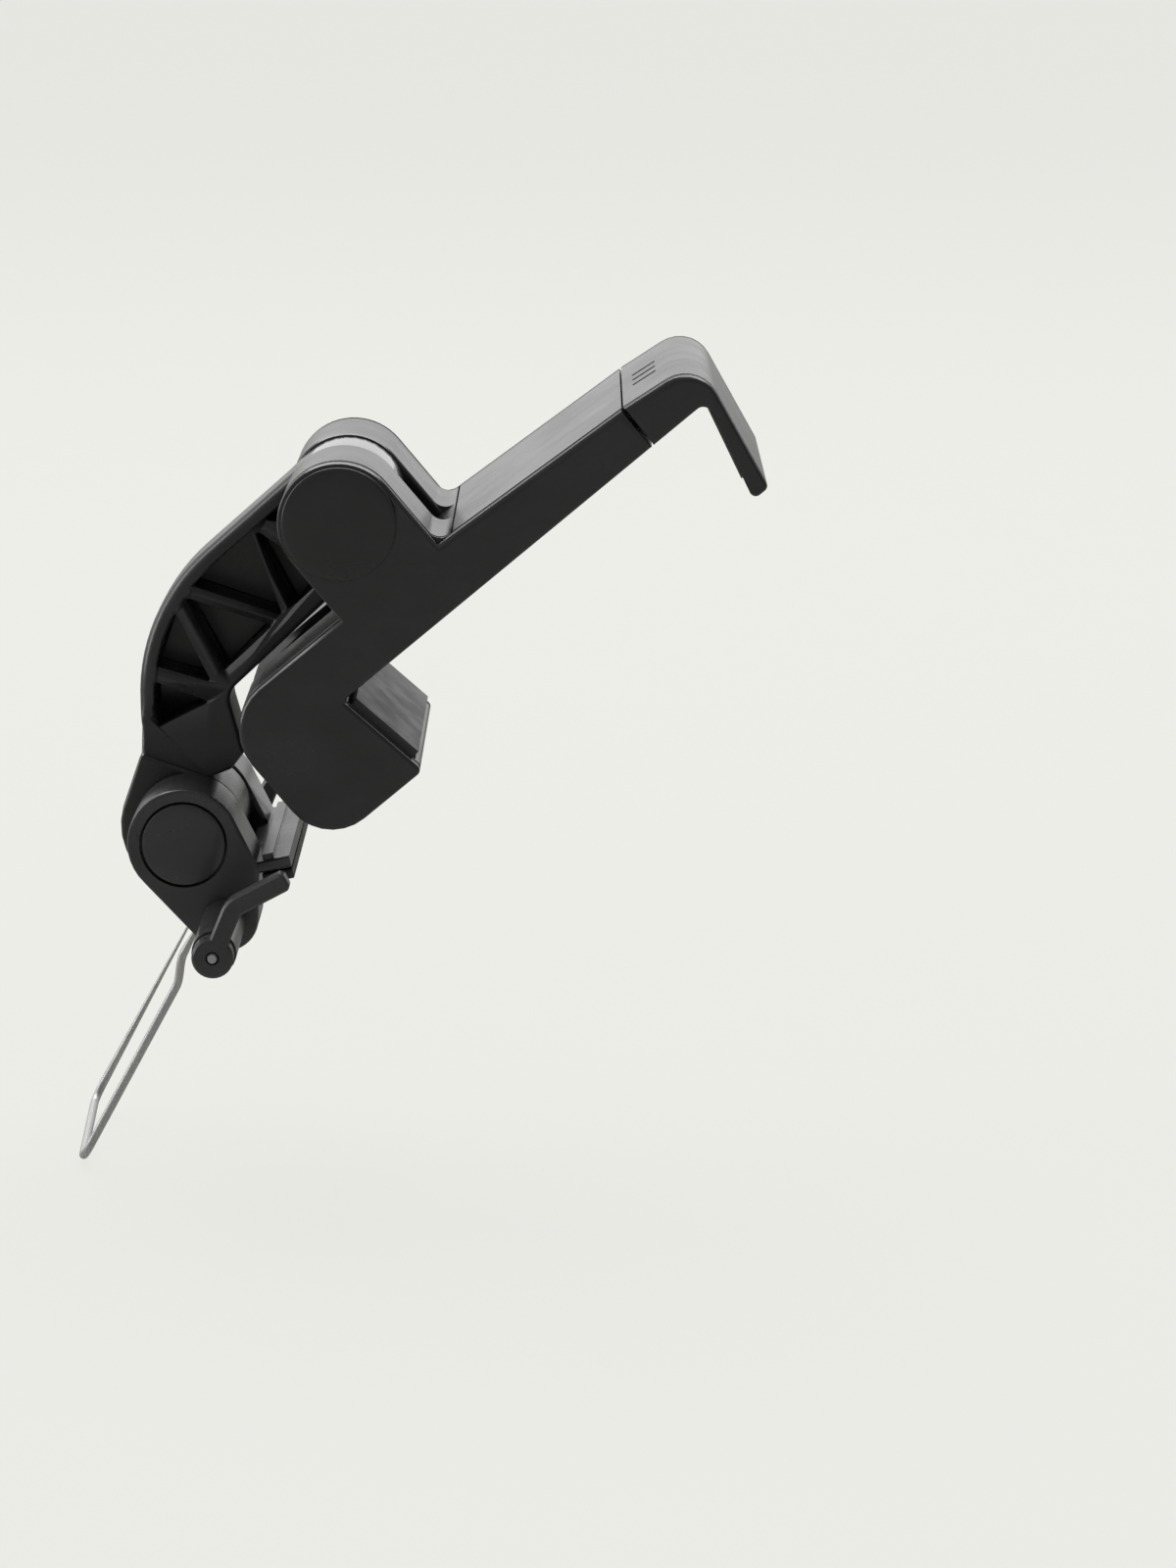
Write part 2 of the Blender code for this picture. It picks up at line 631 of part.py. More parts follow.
def pockets():
    """The pockets of the truss, between the outer and the inner chord, and the nook by the knuckle."""
    top, tip = spine_point(NOOK_START, CHORD_WIDTH), spine_point(NOOK_END, CHORD_WIDTH)
    low = (top[0] + NOOK_LEAN, top[1] - NOOK_HEIGHT)
    outlines = [rounded([(*top, POCKET_ROUND), (*tip, POCKET_ROUND), (*low, POCKET_ROUND)], 2)]
    for outer, inner in POCKETS:
        corners = [(*spine_point(outer[0], CHORD_WIDTH), POCKET_ROUND)]
        if len(outer) > 1:
            corners.append((*spine_point(sum(outer) / 2.0, CHORD_WIDTH), 0.0))
            corners.append((*spine_point(outer[1], CHORD_WIDTH), POCKET_ROUND))
        corners += [(*inner_point(along, INNER_CHORD_WIDTH), POCKET_ROUND) for along in inner]
        outlines.append(rounded(corners, 3))
    return outlines


def build_arm(parent, plastic, steel):
    """The truss arm: boomerang, pockets in its near face, knuckle above and boss with a heel below."""
    half = ARM_THICKNESS / 2.0
    boss = BOSS_THICKNESS / 2.0
    knuckle = KNUCKLE_THICKNESS / 2.0
    arm = put("truss_arm", prism(arm_outline(), -half, half, EDGE, 2), plastic, parent)
    spur = HEEL_RADIUS - CHORD_WIDTH
    heel = [(0.0, 0.0, BOSS_RADIUS), (LEDGE_ALONG, LEDGE_OUT, EDGE)]
    heel += [(x, z, CHORD_WIDTH) for x, z in arc((0.0, 0.0), spur, HEEL_START, HEEL_END, 5)]
    combine(arm, "UNION", [prism(hull(heel), -boss, boss, EDGE, 2)])
    cuts = [prism(outline, -half - BITE, half - ARM_WEB) for outline in pockets()]
    for side in (-1, 1):
        top = prism(circle((ARM_LENGTH, 0.0), KNUCKLE_RADIUS + GAP), *span(side, knuckle, half + BITE))
        cuts.append(top)
    cuts.append(prism(circle((0.0, 0.0), LOWER_SHANK + GAP, 24), -boss - BITE, boss + BITE))
    cuts.append(prism(circle((ARM_LENGTH, 0.0), UPPER_SHANK + GAP, 24), -boss - BITE, boss + BITE))
    washers = (("lower", 0.0, LOWER_HEAD, LOWER_SHANK, boss), ("upper", ARM_LENGTH, UPPER_HEAD, UPPER_SHANK, knuckle))
    for word, x, radius, shank, face in washers:
        depth = face - WASHER_THICKNESS - GAP
        cuts += both_sides(lambda side: prism(circle((x, 0.0), radius + GAP, 32), *span(side, depth, face + BITE)))
        for side, which in ((-1, "near"), (1, "far")):
            low, high = span(side, face - WASHER_THICKNESS, face)
            ring = [(shank + GAP, low), (radius, low), (radius, high), (shank + GAP, high)]
            put(f"{word}_washer_{which}", moved(turned(ring, 24, closed=True), x), steel, parent)
    combine(arm, "DIFFERENCE", cuts)


def back_at(along):
    """The clamp's back: level behind the hinge, and falling in a straight line to the seam."""
    return -BACK_DROP - (SEAM_DROP - BACK_DROP) * max(along, 0.0) / SEAM_ALONG


# Heights inside the clamp, square to the phone's face
FLOOR = -FACE_DROP + WALL
TOE = -FACE_DROP - JAW_REACH
STOP = SEAM_ALONG - WALL
COVER_START = CLAMP_EAR_RADIUS + EAR_FILLET
ROOF = back_at(-KNUCKLE_RADIUS) - ARM_RECESS - COVER_THICKNESS
CAVITY_START = -GRIP_ALONG - 2.0 * WALL
TONGUE_LOW = FLOOR + GAP
TONGUE_HIGH = TONGUE_LOW + TONGUE_THICKNESS
LUG_FRONT = STOP - GAP - JAW_TRAVEL


def rims_of(outline):
    """Rim radii of a clamp outline: the back is rounder than the rest."""
    fall = BACK_ROUND * 4.0
    radii = []
    for along, height in outline:
        share = min(1.0, max(0.0, (height + SEAM_DROP + BACK_ROUND + fall) / fall))
        radii.append(EDGE + (BACK_ROUND - EDGE) * share)
    return radii


def clamp_outline():
    """The clamp from the side: beam, rounded heel and lower jaw."""
    return rounded([
        (SEAM_ALONG, -FACE_DROP, 0.0), (SEAM_ALONG, -SEAM_DROP, 0.0), (0.0, -BACK_DROP, 0.0),
        (-HEEL_ALONG, -BACK_DROP, BACK_HEEL_ROUND), (-HEEL_ALONG, TOE, JAW_HEEL_ROUND),
        (-GRIP_ALONG + GRIP_PAD_INSET, TOE, EDGE * 1.6), (-GRIP_ALONG, -FACE_DROP, EDGE),
    ], 7)


def screw_places():
    """Where the four cover screws stand, as (along, across)."""
    across = CLAMP_WIDTH / 2.0 - 2.6 * WALL
    ends = (CLAMP_EAR_RADIUS + 4.0 * WALL, SEAM_ALONG - 3.5 * WALL)
    return [(along, side * across) for along in ends for side in (-1, 1)]


def peg(place, radius, low, high, steps=16):
    """A round peg that stands square to the phone's face."""
    bm = bmesh.new()
    bmesh.ops.create_cone(
        bm, cap_ends=True, segments=steps, radius1=radius, radius2=radius, depth=high - low,
        matrix=Matrix.Translation((place[0], place[1], (low + high) / 2.0)),
    )
    return bm


def grip(top, toe, thickness, proud, sign, end):
    """A pad let into a jaw's face from the top to a share of the way to the toe, and its recess."""
    low = beside(top, toe, -sign * proud)
    high = beside(top, toe, sign * (thickness - proud))
    deep = beside(top, toe, sign * (thickness - proud + GAP))
    start = 0.09
    share = GAP / math.hypot(toe[0] - top[0], toe[1] - top[1])

    def at(line, t):
        return line[0][0] + (line[1][0] - line[0][0]) * t, line[0][1] + (line[1][1] - line[0][1]) * t

    pad = [at(low, start), at(low, end), at(high, end), at(high, start)]
    out = beside(top, toe, -sign * (proud + BITE))
    recess = [at(out, start - share), at(out, end + share), at(deep, end + share), at(deep, start - share)]
    return pad, recess


def groove_ring(above, below, low, high):
    """A ring between two matching outlines, from y = low to y = high, that cuts a groove round a piece."""
    bm = bmesh.new()
    rings = [
        [bm.verts.new((x, y, z)) for x, z in outline]
        for outline, y in ((above, low), (above, high), (below, high), (below, low))
    ]
    for index in range(4):
        one, two = rings[index - 1], rings[index]
        for place in range(len(above)):
            bm.faces.new((one[place - 1], one[place], two[place], two[place - 1]))
    bmesh.ops.recalc_face_normals(bm, faces=bm.faces)
    return bm


def slab(start, end, low, high):
    """A straight side outline between two distances along the clamp and two heights."""
    return [(start, low), (end, low), (end, high), (start, high)]


def build_clamp(parent, plastic, rubber, steel):
    """The clamp's body with ears, cavity and lower jaw, its back cover, screws and grips."""
    half = CLAMP_WIDTH / 2.0
    inner = KNUCKLE_THICKNESS / 2.0 + GAP
    side_wall = half - WALL
    ledge = COVER_THICKNESS + GAP
    outline = clamp_outline()
    body = put("clamp_body", soft_prism(outline, -half, half, rims_of(outline)), plastic, parent)
    crown = arc((0.0, 0.0), CLAMP_EAR_RADIUS, 0.0, math.pi, 30)
    root = ROOF + GAP
    ear = crown + [(-CLAMP_EAR_RADIUS, root), (CLAMP_EAR_RADIUS, root)]
    flank = back_at(CLAMP_EAR_RADIUS)
    web = rounded([
        (CLAMP_EAR_RADIUS - BITE, root, 0.0), (COVER_START, root, 0.0), (COVER_START, back_at(COVER_START), 0.0),
        (CLAMP_EAR_RADIUS, flank, EAR_FILLET * 0.98), (CLAMP_EAR_RADIUS, flank + EAR_FILLET, 0.0),
        (CLAMP_EAR_RADIUS - BITE, flank + EAR_FILLET, 0.0),
    ], 6)
    core = half - BACK_ROUND
    combine(body, "UNION", both_sides(lambda side: prism(ear, *span(side, inner, half), EDGE, 2)))
    combine(body, "UNION", both_sides(lambda side: prism(web, *span(side, inner + EDGE, core))))
    cavity = [
        (CAVITY_START, FLOOR), (STOP, FLOOR), (STOP, back_at(STOP) - GAP),
        (COVER_START, back_at(COVER_START) - GAP), (COVER_START, ROOF), (CAVITY_START, ROOF),
    ]
    opening = [
        (COVER_START, back_at(COVER_START) - ledge), (SEAM_ALONG + BITE, back_at(SEAM_ALONG + BITE) - ledge),
        (SEAM_ALONG + BITE, BITE - BACK_DROP), (COVER_START, BITE - BACK_DROP),
    ]
    groove = arc((0.0, 0.0), CLAMP_EAR_RADIUS + BITE, 0.0, math.pi, 30)
    foot = -BACK_DROP + GAP
    groove = [(groove[0][0], flank)] + groove + [(groove[-1][0], foot)]
    bed = arc((0.0, 0.0), CLAMP_EAR_RADIUS - GROOVE_DEPTH, math.pi, 0.0, 30)
    groove += [(bed[0][0], foot)] + bed + [(bed[-1][0], flank)]
    mouth_half = TONGUE_WIDTH / 2.0 + GAP
    notch_start = -KNUCKLE_RADIUS - BITE
    notch_end = -HEEL_ALONG - BITE
    notch = [
        (notch_end, back_at(notch_end) - ARM_RECESS), (notch_start, back_at(notch_start) - ARM_RECESS),
        (notch_start, 0.0), (notch_end, 0.0),
    ]
    notch_half = ARM_THICKNESS / 2.0 + 2.0 * GAP
    cuts = [
        prism(cavity, -side_wall, side_wall),
        prism(opening, -core, core),
        prism(slab(STOP - BITE, SEAM_ALONG + BITE, FLOOR, -SEAM_DROP), -mouth_half, mouth_half),
        prism(notch, -notch_half, notch_half),
    ]
    cuts += both_sides(lambda side: prism(groove, *span(side, core - GAP, core)))
    for place in screw_places():
        cuts.append(peg(place, COVER_SCREW_RADIUS + GAP, -FACE_DROP - BITE, FLOOR + BITE))
        cuts.append(peg(place, COVER_SCREW_HEAD + GAP, -FACE_DROP - BITE, -FACE_DROP + WALL / 2.0))
    pad_half = BACK_PAD_WIDTH / 2.0
    pad_start = -GRIP_ALONG + 4.0 * WALL
    pad_end = pad_start + BACK_PAD_LENGTH
    sunk = -FACE_DROP + BACK_PAD_THICKNESS / 2.0
    recess = slab(pad_start - GAP, pad_end + GAP, -FACE_DROP - BITE, sunk + GAP)
    cuts.append(prism(recess, -pad_half - GAP, pad_half + GAP))
    put("back_pad", prism(slab(pad_start, pad_end, sunk - BACK_PAD_THICKNESS, sunk), -pad_half, pad_half, GAP / 2.0),
        rubber, parent)
    top = (-GRIP_ALONG, -FACE_DROP)
    toe = (-GRIP_ALONG + GRIP_PAD_INSET, TOE)
    pad, recess = grip(top, toe, GRIP_PAD_THICKNESS, GRIP_PAD_THICKNESS * 0.6, -1.0, 0.87)
    grip_half = half - 2.0 * WALL
    cuts.append(prism(recess, -grip_half - GAP, grip_half + GAP))
    put("lower_jaw_pad", prism(pad, -grip_half, grip_half, GAP / 2.0), rubber, parent)
    cuts += hinge_cuts(UPPER_SHANK, UPPER_HEAD, UPPER_NUT_FLATS, UPPER_CAP_RADIUS, half, inner)
    combine(body, "DIFFERENCE", cuts)
    build_cover(parent, core - GAP, plastic, steel)
    for side, word in ((-1, "near"), (1, "far")):
        place = (CAVITY_START + 2.0 * POST_RADIUS, side * SPRING_SPREAD / 2.0)
        put(f"spring_post_{word}", peg(place, POST_RADIUS, FLOOR + GAP, ROOF - GAP), steel, parent)
    hinge_hardware("upper", UPPER_SHANK, UPPER_HEAD, UPPER_NUT_FLATS, UPPER_CAP_RADIUS, half, parent, steel, plastic)


def build_cover(parent, half, plastic, steel):
    """The cover of the beam with four bosses, and the screws that reach them from the phone's face."""
    start = COVER_START + GAP
    plate = [
        (start, back_at(start) - COVER_THICKNESS), (SEAM_ALONG, -SEAM_DROP - COVER_THICKNESS),
        (SEAM_ALONG, -SEAM_DROP), (start, back_at(start)),
    ]
    cover = put("beam_cover", prism(plate, -half, half, GAP), plastic, parent)
    bosses = []
    holes = []
    for number, place in enumerate(screw_places()):
        root = back_at(place[0]) - COVER_THICKNESS
        bosses.append(peg(place, COVER_SCREW_RADIUS + GAP + COVER_SCREW_RADIUS, FLOOR + GAP, root + GAP))
        holes.append(peg(place, COVER_SCREW_RADIUS + GAP, FLOOR, root - GAP))
        seat = -FACE_DROP + WALL / 2.0 - GAP
        low = -FACE_DROP
        profile = [
            (0.0, low + GAP), (COVER_SCREW_RADIUS, low + GAP), (COVER_SCREW_RADIUS, low), (COVER_SCREW_HEAD, low),
            (COVER_SCREW_HEAD, seat), (COVER_SCREW_RADIUS, seat), (COVER_SCREW_RADIUS, root - 2.0 * GAP),
            (0.0, root - 2.0 * GAP),
        ]
        screw = turned(profile, 16)
        upright = Matrix.Translation((*place, 0.0)) @ Matrix.Rotation(math.pi / 2.0, 4, "X")
        bmesh.ops.transform(screw, matrix=upright, verts=screw.verts)
        put(f"cover_screw_{number + 1}", screw, steel, parent)
    combine(cover, "UNION", bosses)
    combine(cover, "DIFFERENCE", holes)


def build_jaw(parent, plastic, rubber, steel):
    """The sliding jaw: hook, tongue with lugs that meet the stop, grip, marks and two springs."""
    half = CLAMP_WIDTH / 2.0
    start = SEAM_ALONG + GAP
    outer = (SEAM_ALONG + HOOK_RUN, -SHOULDER_DROP)
    inner = (outer[0] - HOOK_WALL, -FACE_DROP)
    outer_toe = (outer[0] - HOOK_LEAN, TOE)
    inner_toe = (inner[0] - HOOK_LEAN, TOE)
    hook = rounded([
        (start, -FACE_DROP, 0.0), (*inner, HOOK_FILLET), (*inner_toe, EDGE * 1.6),
        (*outer_toe, EDGE * 1.6), (*outer, HOOK_ROUND), (start, -SEAM_DROP, 0.0),
    ], 7)
    jaw = put("sliding_jaw", soft_prism(hook, -half, half, rims_of(hook)), plastic, parent)
    tail = LUG_FRONT - LUG_LENGTH
    tongue_half = TONGUE_WIDTH / 2.0
    lug_half = LUG_SPREAD / 2.0
    combine(jaw, "UNION", [
        prism(slab(tail, start + WALL, TONGUE_LOW, TONGUE_HIGH), -tongue_half, tongue_half),
        prism(slab(tail, LUG_FRONT, TONGUE_LOW, TONGUE_HIGH - GAP / 3.0), -lug_half, lug_half),
    ])
    above = shifted(hook, [-BITE] * len(hook))
    below = shifted(hook, [GROOVE_DEPTH] * len(hook))
    core = half - BACK_ROUND
    cuts = both_sides(lambda side: groove_ring(above, below, *span(side, core - GAP, core)))
    for number in range(MARK_COUNT):
        across = (number - (MARK_COUNT - 1) / 2.0) * MARK_PITCH
        middle = (start + outer[0] - HOOK_ROUND) / 2.0
        mark = slab(middle - MARK_LENGTH / 2.0, middle + MARK_LENGTH / 2.0, -SHOULDER_DROP + GAP, -SEAM_DROP + BITE)
        cuts.append(prism(mark, across - MARK_WIDTH / 2.0, across + MARK_WIDTH / 2.0))
    pad, recess = grip(inner, inner_toe, HOOK_PAD_THICKNESS, GAP, 1.0, 0.80)
    grip_half = half - 2.0 * WALL
    cuts.append(prism(recess, -grip_half - GAP, grip_half + GAP))
    combine(jaw, "DIFFERENCE", cuts)
    put("upper_jaw_pad", prism(pad, -grip_half, grip_half, GAP / 2.0), rubber, parent)
    rest = CAVITY_START + 3.0 * POST_RADIUS + GAP + SPRING_WIRE
    height = FLOOR + GAP + SPRING_RADIUS + SPRING_WIRE
    for side, word in ((-1, "near"), (1, "far")):
        end = tail - GAP - SPRING_WIRE
        across = side * SPRING_SPREAD / 2.0
        steps = 8 * SPRING_TURNS
        path = []
        for step in range(steps + 1):
            angle = 2.0 * math.pi * SPRING_TURNS * step / steps
            along = rest + (end - rest) * step / steps
            path.append((along, across + SPRING_RADIUS * math.cos(angle), height + SPRING_RADIUS * math.sin(angle)))
        tube(f"jaw_spring_{word}", path, SPRING_WIRE, steel, parent, 0)


def main():
    clear_scene()
    black = material("satin_black_plastic", (0.028, 0.028, 0.031), 0.38)
    dark = material("dark_rubber", (0.045, 0.045, 0.047), 0.75)
    steel = material("bright_steel", (0.72, 0.72, 0.73), 0.22, 1.0)
    base = frame("saddle_frame", (HINGE_X, 0.0, HINGE_Z))
    build_saddle(base, black, dark, steel)
    claws = frame("claw_axis", (PIN[0], 0.0, PIN[1]), parent=base)
    build_claws(claws, black, steel)
    bail = frame("bail_axis", (PIN[0], 0.0, PIN[1]), parent=base)
    build_bail(bail, steel)
    lower = frame("arm_axis", (0.0, 0.0, 0.0), ARM_LEAN, base)
    build_arm(lower, black, steel)
    upper = frame("clamp_axis", (ARM_LENGTH, 0.0, 0.0), CLAMP_LEAN - ARM_LEAN, lower)
    build_clamp(upper, black, dark, steel)
    slide = frame("jaw_slide", (0.0, 0.0, 0.0), parent=upper)
    build_jaw(slide, black, dark, steel)


main()
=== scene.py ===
# %% [markdown]
# # A phone clip, dressed for its picture
# The solid model already has every piece in its place. This lesson gives the pieces their
# finish: satin moulded plastic, soft rubber, satin wire and plated screws. It rounds the arm's
# back, crowns the hinge caps and winds the springs, and then lights the clip as a studio would.
# No piece is moved, and nothing reaches past the box of the solid model.

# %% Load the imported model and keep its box
import json
import math

import bmesh
import bpy
from mathutils import Matrix, Vector


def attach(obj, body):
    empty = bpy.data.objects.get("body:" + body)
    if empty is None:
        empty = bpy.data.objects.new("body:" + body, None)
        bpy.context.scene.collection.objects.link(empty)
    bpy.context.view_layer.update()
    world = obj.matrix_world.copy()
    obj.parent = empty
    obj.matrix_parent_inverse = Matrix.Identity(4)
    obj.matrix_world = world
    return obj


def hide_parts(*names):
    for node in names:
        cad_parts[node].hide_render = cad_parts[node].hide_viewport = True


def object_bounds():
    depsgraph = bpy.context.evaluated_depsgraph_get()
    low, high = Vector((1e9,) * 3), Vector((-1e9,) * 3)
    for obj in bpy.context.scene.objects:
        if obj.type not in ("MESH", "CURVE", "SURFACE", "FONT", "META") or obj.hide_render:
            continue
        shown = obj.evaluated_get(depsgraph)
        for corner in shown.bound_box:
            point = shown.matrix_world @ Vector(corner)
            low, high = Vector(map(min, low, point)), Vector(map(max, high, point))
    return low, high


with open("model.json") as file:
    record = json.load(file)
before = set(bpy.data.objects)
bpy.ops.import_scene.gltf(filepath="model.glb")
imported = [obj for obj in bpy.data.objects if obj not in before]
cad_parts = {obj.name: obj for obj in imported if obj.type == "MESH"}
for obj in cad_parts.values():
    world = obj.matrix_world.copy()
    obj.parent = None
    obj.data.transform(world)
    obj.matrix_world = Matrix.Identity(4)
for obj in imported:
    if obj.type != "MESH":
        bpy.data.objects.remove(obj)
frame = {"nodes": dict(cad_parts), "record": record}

bpy.context.scene.view_settings.view_transform = "Standard"
cad_low, cad_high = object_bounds()
print("solid model, mm:", [round(1000.0 * (b - a), 1) for a, b in zip(cad_low, cad_high)])

# %% [markdown]
# ## Where things are
# The clip has two leaning frames: the arm and the clamp. Everything drawn on a piece is easier
# to place in the piece's own frame, so a small helper makes the matrix that turns a distance
# along the piece, across the clip and square to the piece into a point of the scene. The
# numbers are the same named sizes that the solid model was drawn with.

# %% The leaning frames of the clip
LOWER_HINGE = Vector((-0.0116, 0.0, 0.0050))
ARM_LENGTH = 0.04654
ARM_LEAN = math.radians(63.95)
CLAMP_LEAN = math.radians(39.8)
UPPER_HINGE = LOWER_HINGE + ARM_LENGTH * Vector((math.cos(ARM_LEAN), 0.0, math.sin(ARM_LEAN)))
CLAW_PIN = LOWER_HINGE + Vector((0.00505, 0.0, -0.00978))


def leaning(origin, lean):
    """The matrix of a frame that stands at a point with its X axis leaning up from level."""
    return Matrix.Translation(origin) @ Matrix.Rotation(-lean, 4, "Y")


ON_ARM = leaning(LOWER_HINGE, ARM_LEAN)
ON_CLAMP = leaning(UPPER_HINGE, CLAMP_LEAN)
print("upper hinge, mm:", [round(1000.0 * v, 2) for v in UPPER_HINGE])

# %% [markdown]
# ## Shader maths as plain expressions
# A material is a small program. Wired by hand it becomes a web of nodes that nobody can
# read, so this class wraps one socket and overloads the arithmetic operators. An
# expression such as 0.4 + 0.1 * grain then adds its own Math nodes.

# %% A socket that can be added and multiplied
class Wire:
    """One output socket of a shader tree, with arithmetic."""

    def __init__(self, bench, socket):
        self.bench = bench
        self.socket = socket

    def maths(self, operation, *values):
        """A Math node on the given values."""
        return self.bench.node("ShaderNodeMath", {"operation": operation}, dict(enumerate(values)))

    def maths_alone(self, operation):
        """A Math node that needs this value only, such as an absolute value or a root."""
        return self.maths(operation, self)

    def __add__(self, other):
        return self.maths("ADD", self, other)

    def __sub__(self, other):
        return self.maths("SUBTRACT", self, other)

    def __rsub__(self, other):
        return self.maths("SUBTRACT", other, self)

    def __mul__(self, other):
        return self.maths("MULTIPLY", self, other)

    __radd__ = __add__
    __rmul__ = __mul__

    def between(self, low, high, start=0.0, end=1.0):
        """The start value below low, the end value above high, and a smooth step in between."""
        settings = {"interpolation_type": "SMOOTHSTEP", "clamp": True}
        sockets = {"Value": self, "From Min": low, "From Max": high, "To Min": start, "To Max": end}
        return self.bench.node("ShaderNodeMapRange", settings, sockets)


print("wire ready")

# %% [markdown]
# ## A bench for materials
# The bench holds one material, or the world, while it is built. Each pattern reads the place
# on the piece in Object coordinates, so it needs no unwrapped surface and has the same size
# on every piece.

# %% A bench for one material
class Bench:
    """One material, or the world, under construction."""

    def __init__(self, name, shelf=bpy.data.materials, place="Object"):
        self.made = shelf.new(name)
        self.made.use_nodes = True
        self.tree = self.made.node_tree
        self.tree.nodes.clear()
        self.place = self.node("ShaderNodeTexCoord", {}, {}, place)

    def node(self, kind, settings, sockets, output=0):
        """Add a node: first its settings, then the values or links of its sockets."""
        added = self.tree.nodes.new(kind)
        for key, value in settings.items():
            setattr(added, key, value)
        for key, value in sockets.items():
            if isinstance(value, Wire):
                self.tree.links.new(value.socket, added.inputs[key])
            else:
                added.inputs[key].default_value = value
        return Wire(self, added.outputs[output]) if len(added.outputs) else None

    def axes(self, names):
        """The place's coordinates along the named axes."""
        return [self.node("ShaderNodeSeparateXYZ", {}, {0: self.place}, axis) for axis in names]

    def rays(self, *kinds):
        """For each kind of light ray, 1 on rays of that kind and 0 on all others."""
        return [self.node("ShaderNodeLightPath", {}, {}, f"Is {kind} Ray") for kind in kinds]

    def noise(self, scale, detail, place=None):
        """A cloudy pattern from 0 to 1."""
        sockets = {"Vector": place or self.place, "Scale": scale, "Detail": detail}
        return self.node("ShaderNodeTexNoise", {}, sockets, "Fac")

    def cells(self, scale):
        """The distance to the nearest of many scattered points."""
        sockets = {"Vector": self.place, "Scale": scale}
        return self.node("ShaderNodeTexVoronoi", {"feature": "F1"}, sockets, "Distance")

    def stretched(self, scale, turn):
        """The place on the piece, turned and stretched, for a grain that runs one way."""
        sockets = {"Vector": self.place, "Scale": scale, "Rotation": turn}
        return self.node("ShaderNodeMapping", {}, sockets)

    def tint(self, factor, first, second):
        """A mix of two colours, each of them three numbers or a wire."""
        ends = [end if isinstance(end, Wire) else (*end, 1.0) for end in (first, second)]
        return self.node("ShaderNodeMix", {"data_type": "RGBA"}, {0: factor, 6: ends[0], 7: ends[1]}, 2)

    def bump(self, height, distance, strength, under=None):
        """A normal that tilts with a height, on top of the one that lies under it."""
        sockets = {"Height": height, "Distance": distance, "Strength": strength}
        if under:
            sockets["Normal"] = under
        return self.node("ShaderNodeBump", {}, sockets)

    def finish(self, **sockets):
        """End the material in one Principled shader."""
        named = {key.replace("_", " "): value for key, value in sockets.items()}
        shader = self.node("ShaderNodeBsdfPrincipled", {}, named)
        self.node("ShaderNodeOutputMaterial", {}, {"Surface": shader})
        return self.made


print("shader bench ready")

# %% [markdown]
# ## Masks that find a place on a piece
# Three spots differ from the plain plastic. The jaw's back has three short recesses whose floors
# are painted near black as painted shade, the arm's upper knuckle is polished between the two
# ears, and a groove runs along both rims of the clamp. A mask finds such a spot from the leaning
# frames alone: it is 1 there and 0 elsewhere, so one material can change its colour or gloss with
# no seam in the piece.

# %% Masks for the marks on the jaw
MARK_PITCH = 0.0045
MARK_ALONG = 0.03955
MARK_HALF_LENGTH = 0.00172
MARK_HALF_WIDTH = 0.00057
MARK_FLOOR = -0.0125
MARK_HALF_DEPTH = 0.00015


def in_frame(bench, stand):
    """The shaded point in a leaning frame: along it, across the clip and square to it."""
    x, y, z = bench.axes("XYZ")
    return [x * row[0] + y * row[1] + z * row[2] + row[3] for row in stand.inverted()[:3]]


def within(wire, middle, half):
    """1 where a value lies within half of the middle, and 0 elsewhere."""
    off = (wire - middle).maths_alone("ABSOLUTE")
    return off.maths("LESS_THAN", off, half)


def recess_shade_mask(bench):
    """1 on the floors of the three short recesses on the sliding jaw, where shade is painted, and 0
    elsewhere.
    """
    along, across, height = in_frame(bench, ON_CLAMP)
    rows = within(across, 0.0, MARK_HALF_WIDTH)
    for middle in (MARK_PITCH, -MARK_PITCH):
        rows = rows + within(across, middle, MARK_HALF_WIDTH)
    rows = rows * within(along, MARK_ALONG, MARK_HALF_LENGTH)
    return rows * within(height, MARK_FLOOR, MARK_HALF_DEPTH)


print("marks, mm across:", [round(1000.0 * MARK_PITCH * step, 1) for step in (-1, 0, 1)])

# %% [markdown]
# ## The polished knuckle and the groove along the rims
# The knuckle's mask measures the distance from the hinge's axis and stops short of the ears.
# The groove is a real one in the solid model. In the picture a soft chamfer widens it, which
# is finer than the model's faces, so a V of shading is laid over the real groove.

# %% Masks for the knuckle and the rims
KNUCKLE_RADIUS = 0.0074
KNUCKLE_SINK = (0.0006, 0.0003)
KNUCKLE_RISE = (0.0001, 0.0003)
KNUCKLE_LEVEL = 0.0002
SLEEVE_HALF = 0.0043
SLEEVE_FADE = 0.0001
RIM_MIDDLE = 0.0185
RIM_HALF = 0.0008


def on_knuckle(bench):
    """1 on the round of the arm's upper knuckle, between the two ears, and 0 elsewhere."""
    along, across, height = in_frame(bench, Matrix.Translation(UPPER_HINGE))
    across = across.maths_alone("ABSOLUTE")
    radius = (along * along + height * height).maths_alone("SQRT")
    not_inside = radius.between(*[KNUCKLE_RADIUS - sink for sink in KNUCKLE_SINK])
    not_under_ear = 1.0 - across.between(SLEEVE_HALF, SLEEVE_HALF + SLEEVE_FADE)
    not_outside = 1.0 - radius.between(*[KNUCKLE_RADIUS + rise for rise in KNUCKLE_RISE])
    upper_half = height.between(-KNUCKLE_LEVEL, KNUCKLE_LEVEL)
    return not_inside * not_under_ear * not_outside * upper_half


def rim_groove(bench):
    """The height, in metres, of a V groove along both rims of the clamp and of its jaw."""
    across = in_frame(bench, ON_CLAMP)[1].maths_alone("ABSOLUTE")
    off = (across - RIM_MIDDLE).maths_alone("ABSOLUTE")
    sunk = RIM_HALF - off
    return sunk.maths("MAXIMUM", sunk, 0.0) * -1.0


print("rim groove, mm across:", round(1000.0 * RIM_MIDDLE, 1))

